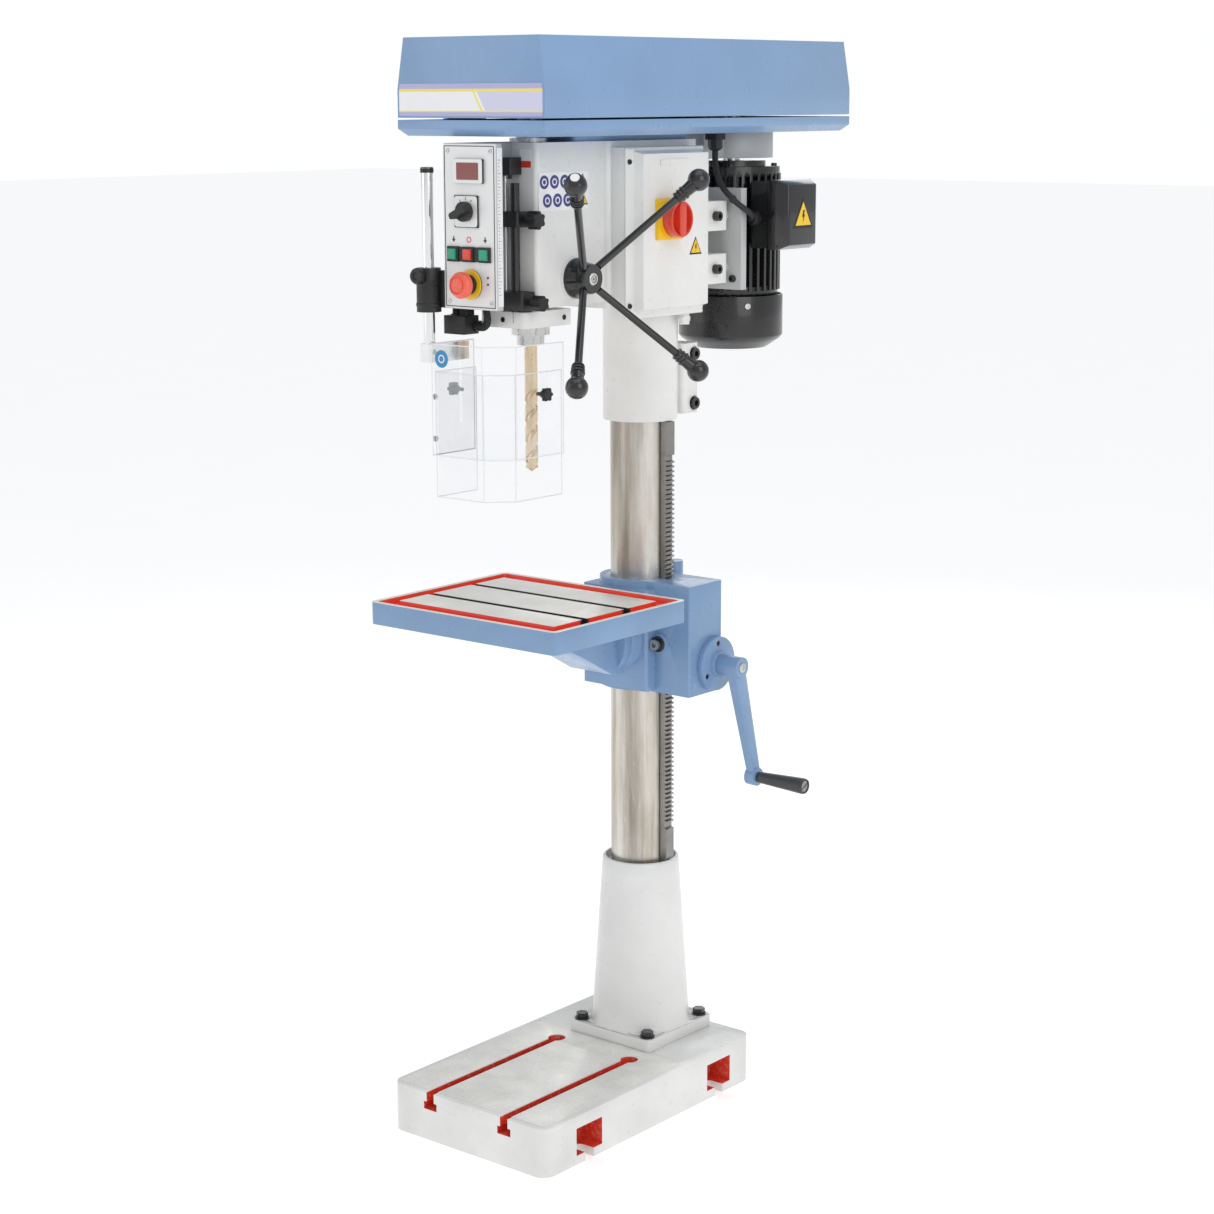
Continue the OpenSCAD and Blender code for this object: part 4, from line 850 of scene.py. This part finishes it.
def post_details():
    """The holder's knob and ribs, and the cap on top of the guard's post."""
    post = Matrix.Translation((*POST_AXIS, 0))
    bm = bmesh.new()
    lathe(bm, [(0, -0.001), (0.0105, -0.001), (0.0125, 0.002), (0.0125, 0.009), (0.0105, 0.012), (0.006, 0.012),
               (0.005, 0.010), (0, 0.010)], frame_at((POST_AXIS[0], -0.4325, 1.4005), FRONT), 30)
    piece("holder_knob", bm, "black", "stand")
    bm = bmesh.new()
    lathe(bm, [(0.0185, 1.385), (0.0202, 1.387), (0.0202, 1.392), (0.0185, 1.394)], post, 40)
    lathe(bm, [(0.0185, 1.352), (0.0200, 1.354), (0.0200, 1.358), (0.0185, 1.360)], post, 40)
    piece("holder_ribs", bm, "black", "stand")
    bm = bmesh.new()
    lathe(bm, [(0, 1.5555), (0.0103, 1.5555), (0.0103, 1.5622), (0.0090, 1.5640), (0, 1.5640)], post, 36)
    piece("post_cap", bm, "black", "guard")


def spoke_frames():
    """Axis frames of the four feed spokes by their angle, with the origin at each ball's centre."""
    _, hub_y, hub_z = hub_axis()
    frames = {}
    for a in (45, 135, 225, 315):
        c, s = math.cos(math.radians(a)), math.sin(math.radians(a))
        inner = Vector((0.084, hub_y + 0.018 * c, hub_z + 0.018 * s))
        outer = Vector((0.1835, hub_y + 0.210 * c, hub_z + 0.210 * s))
        frames[a] = frame_at(outer, outer - inner)
    return frames


def feed_details():
    """Stepped collars behind the balls, and the ring and cap of the push button in one of them."""
    frames = spoke_frames()
    bm = bmesh.new()
    for m in frames.values():
        for k, h in enumerate((-0.046, -0.0395, -0.033)):
            r = 0.0098 + 0.0005 * k
            lathe(bm, [(r - 0.003, h), (r, h + 0.0006), (r + 0.0006, h + 0.0022), (r, h + 0.0040),
                       (r - 0.003, h + 0.0046)], m, 32)
    piece("knob_collars", bm, "gloss_black", "feed_wheel")
    m = frames[TAP_SPOKE]
    bm = bmesh.new()
    lathe(bm, [(0.0075, 0.0152), (0.0112, 0.0138), (0.0118, 0.0150), (0.0086, 0.0186), (0.0076, 0.0186),
               (0.0075, 0.0152)], m, 36)
    piece("tap_button_ring", bm, "black", "feed_wheel")
    bm = bmesh.new()
    lathe(bm, [(0, 0.0196), (0.0050, 0.0196), (0.0058, 0.0190), (0.0062, 0.0186), (0, 0.0186)], m, 32)
    piece("tap_button_cap", bm, "panel", "tapping_switch")


def guard_conduit():
    """Corrugated conduit from the guard switch to the control box, its glands and the switch's stud."""
    route = [(-31, -360, 1322), (-22, -361, 1320), (-12, -363, 1325), (-7, -366, 1336), (-7, -368, 1346),
             (-7, -369, 1351.5)]
    bm = bmesh.new()
    sweep(bm, curve_through(route, 0.0008), 0.0054, 14, 0.0006, 0.0030)
    piece("guard_conduit", bm, "rubber", "stand")
    bm = bmesh.new()
    for at, axis in (((-0.030, -0.360, 1.322), RIGHT), ((-0.068, -0.370, 1.338), UP)):
        lathe(bm, [(0, -0.007), (0.0095, -0.007), (0.0095, 0.000), (0.0085, 0.002), (0, 0.002)], frame_at(at, axis), 6)
    piece("conduit_glands", bm, "black", "stand")
    bm = bmesh.new()
    lathe(bm, [(0, 1.3375), (0.008, 1.3375), (0.008, 1.346), (0.0066, 1.347), (0.0066, 1.3517), (0, 1.3517)],
          Matrix.Translation((-0.046, -0.370, 0)), 28)
    piece("switch_stud", bm, "zinc", "stand")


def motor_details():
    """The cable's gland nuts, the tie bolts of the upper end shield and a blank plate."""
    gland = frame_at((0.098, 0.183, 1.469), FRONT)
    bm = bmesh.new()
    lathe(bm, [(0.0, -0.001), (0.0135, -0.001), (0.0135, 0.003), (0.0125, 0.0045), (0.0, 0.0045)], gland, 6)
    lathe(bm, [(0.0052, 0.004), (0.0115, 0.004), (0.0115, 0.008), (0.0095, 0.0115), (0.0055, 0.0125), (0.0052, 0.004)],
          gland, 32)
    piece("cable_gland_nuts", bm, "black", "stand")
    bm = bmesh.new()
    lathe(bm, [(0.0052, 1.580), (0.0098, 1.582), (0.0125, 1.586), (0.0125, 1.598), (0.0052, 1.598)],
          Matrix.Translation((0.061, 0.121, 0)), 8)
    piece("upper_gland_nut", bm, "black", "stand")
    shield_top = Vector((0, MOTOR_Y, 1.5518))
    screws("motor_tie_bolts", "black_paint", "stand", 0.005, 0.005,
           [(shield_top + heading(a) * 0.072, UP) for a in (35, 125, 215, 305)])
    bm = bmesh.new()
    out = heading(-62)
    prism(bm, round_rect(0.030, 0.040, 0.002), 0.0012, side_frame(Vector((0, MOTOR_Y, 1.400)) + out * 0.0842, out))
    piece("motor_blank_plate", bm, "alloy", "stand")


def table_details():
    """Tilt scale on the bracket and a washer on the end of the lift shaft."""
    radius = 0.0605
    bm = bmesh.new()
    for k in range(-6, 7):
        a = math.radians(90 + 5 * k)
        n = Vector((math.cos(a), 0, math.sin(a)))
        length = 0.006 if k % 3 == 0 else 0.0035
        at = Vector((radius * n.x, -0.0965 + length / 2, 0.790 + radius * n.z))
        m = frame_at(at - n * 0.0008, n)
        along = m.to_3x3().inverted() @ Vector((0, 1, 0))  # each mark runs along the machine's Y
        turn = Matrix.Rotation(math.atan2(along.y, along.x), 4, "Z")
        prism(bm, round_rect(length, 0.0008, 0.0002, 1), 0.0006, m @ turn)
    piece("tilt_scale", bm, "black", "table_carrier")
    bm = bmesh.new()
    lathe(bm, [(0.0095, 0), (0.0135, 0), (0.0135, 0.0022), (0.0125, 0.003), (0.0095, 0.003), (0.0095, 0)],
          frame_at((0.0795, -0.0530, 0.783), FRONT), 36)
    piece("shaft_washer", bm, "black_paint", "table_carrier")


# ---------------------------------------------------------------- chuck guard
def guard_outline(inset):
    """The guard in plan, from its left rear edge round the front to its right rear edge."""
    mitre = 0.4142 * inset
    return [(-0.070 + inset, -0.330), (-0.070 + inset, -0.426 + inset), (0.034 - mitre, -0.426 + inset),
            (0.071 - inset, -0.389 + mitre), (0.071 - inset, -0.279)]


def clear_guard(name, body, inset, z0, z1):
    """A bent clear sheet, open at the back."""
    bm = bmesh.new()
    grid = {}
    for side, pts in (("o", guard_outline(inset)), ("i", guard_outline(inset + GUARD_SHEET))):
        for k, (x, y) in enumerate(pts):
            for j, z in enumerate((z0, z1)):
                grid[side, k, j] = bm.verts.new((x, y, z))
    for k in range(4):
        bm.faces.new((grid["o", k, 0], grid["o", k + 1, 0], grid["o", k + 1, 1], grid["o", k, 1]))
        bm.faces.new((grid["i", k + 1, 0], grid["i", k, 0], grid["i", k, 1], grid["i", k + 1, 1]))
        for j in (0, 1):
            bm.faces.new((grid["o", k, j], grid["i", k, j], grid["i", k + 1, j], grid["o", k + 1, j]))
    for k in (0, 4):
        bm.faces.new((grid["o", k, 0], grid["o", k, 1], grid["i", k, 1], grid["i", k, 0]))
    return piece(name, bm, "clear", body, 20)


def painted_guard_highlights(name, inset, z0, z1, body):
    """Painted highlights: pale opaque lines along the clear sheet's edges and bend lines, where they catch the light.
    """
    pts = guard_outline(inset)
    bm = bmesh.new()
    for z in (z0, z1):
        sweep(bm, [Vector((x, y, z)) for x, y in pts], 0.0009, 6)
    for x, y in pts:
        sweep(bm, [Vector((x, y, z)) for z in (z0, z1)], 0.0007, 6)
    piece(name, bm, "painted_edge_highlight", body)


def guard_parts():
    lower = clear_guard("lower_guard_sheet", "guard_slider", 0.0035, 1.060, 1.255)
    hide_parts("lower_guard")
    steps, lobes = 60, 6
    star = []
    for k in range(steps):
        a = 2 * math.pi * k / steps
        r = 0.0095 + 0.0016 * math.cos(lobes * a)
        star.append((r * math.cos(a), r * math.sin(a)))
    for side, sx, x, y in (("left", -1, -0.0735, -0.362), ("right", 1, 0.0745, -0.335)):
        bm = bmesh.new()
        m = frame_at((x, y, 1.222), (sx, 0, 0))
        lathe(bm, [(0, -0.009), (0.003, -0.009), (0.003, 0.001), (0.0055, 0.001), (0.0055, 0.007), (0, 0.007)], m, 24)
        prism(bm, star, 0.0085, m @ Matrix.Translation((0, 0, 0.0065)), 0.0012)
        piece("guard_knob_" + side, bm, "black", "guard_slider")
    # Painted highlights along the edges and bends of both guards
    painted_guard_highlights("upper_guard_highlights", 0.0004, 1.1255, 1.2975, "guard")
    painted_guard_highlights("lower_guard_highlights", 0.0045, 1.0605, 1.2545, "guard_slider")


panel_trim()
scale_and_rod()
labels()
cover_decal()
fasteners()
post_details()
feed_details()
guard_conduit()
motor_details()
table_details()
guard_parts()


# ---------------------------------------------------------------- floor, lights and camera
def studio():
    """Pale floor, a backdrop that the camera sees brighter than it lights, and four soft lamps."""
    mesh = bpy.data.meshes.new("floor")
    size = 40.0
    mesh.from_pydata([(-size, -size, 0), (size, -size, 0), (size, size, 0), (-size, size, 0)], [], [(0, 1, 2, 3)])
    s = Shade("pale_floor", roughness=0.8)
    s.set("base color", s.mix(s.noise(3, 3), (0.90, 0.90, 0.90), (0.93, 0.93, 0.93)))
    s.set("emission color", (1.0, 1.0, 1.0))
    s.set("emission strength", 0.36)
    mesh.materials.append(s.mat)
    floor = bpy.data.objects.new("floor", mesh)
    bpy.context.scene.collection.objects.link(floor)

    world = bpy.data.worlds.new("studio")
    bpy.context.scene.world = world
    bpy.context.scene.view_settings.view_transform = "Standard"
    world.use_nodes = True
    background = world.node_tree.nodes["Background"]
    background.inputs["Color"].default_value = (0.97, 0.98, 1.0, 1)
    seen = world.node_tree.nodes.new("ShaderNodeLightPath").outputs["Is Camera Ray"]
    strength = world.node_tree.nodes.new("ShaderNodeMapRange")
    strength.inputs["To Min"].default_value = 0.64
    strength.inputs["To Max"].default_value = 1.03
    world.node_tree.links.new(seen, strength.inputs["Value"])
    world.node_tree.links.new(strength.outputs[0], background.inputs["Strength"])

    def area(name, at, target, width, height, power):
        light = bpy.data.lights.new(name, "AREA")
        light.shape = "RECTANGLE"
        light.size = width
        light.size_y = height
        light.energy = power
        obj = bpy.data.objects.new(name, light)
        obj.location = at
        obj.rotation_euler = (Vector(target) - Vector(at)).to_track_quat("-Z", "Y").to_euler()
        bpy.context.scene.collection.objects.link(obj)

    aim = (0.0, 0.0, 0.9)
    area("key_right", (3.4, -1.2, 2.6), aim, 2.2, 2.6, 30)
    area("fill_left", (-2.6, -3.2, 2.2), aim, 2.2, 2.6, 12)
    area("top_soft", (0.4, -0.4, 4.2), (0, 0, 1.0), 3.0, 3.0, 24)
    area("back_rim", (-1.6, 3.2, 2.6), (0, 0, 1.0), 1.6, 2.2, 14)


def camera():
    """The camera fitted to the column, the base's edges and the table's edges."""
    data = bpy.data.cameras.new("camera")
    data.lens = 74.8
    data.sensor_width = 36
    cam = bpy.data.objects.new("camera", data)
    cam.location = (2.5947, -3.2444, 1.670)
    cam.rotation_euler = (math.radians(90 - 11.47), math.radians(0.18), math.radians(39.39))
    bpy.context.scene.collection.objects.link(cam)
    bpy.context.scene.camera = cam


studio()
camera()
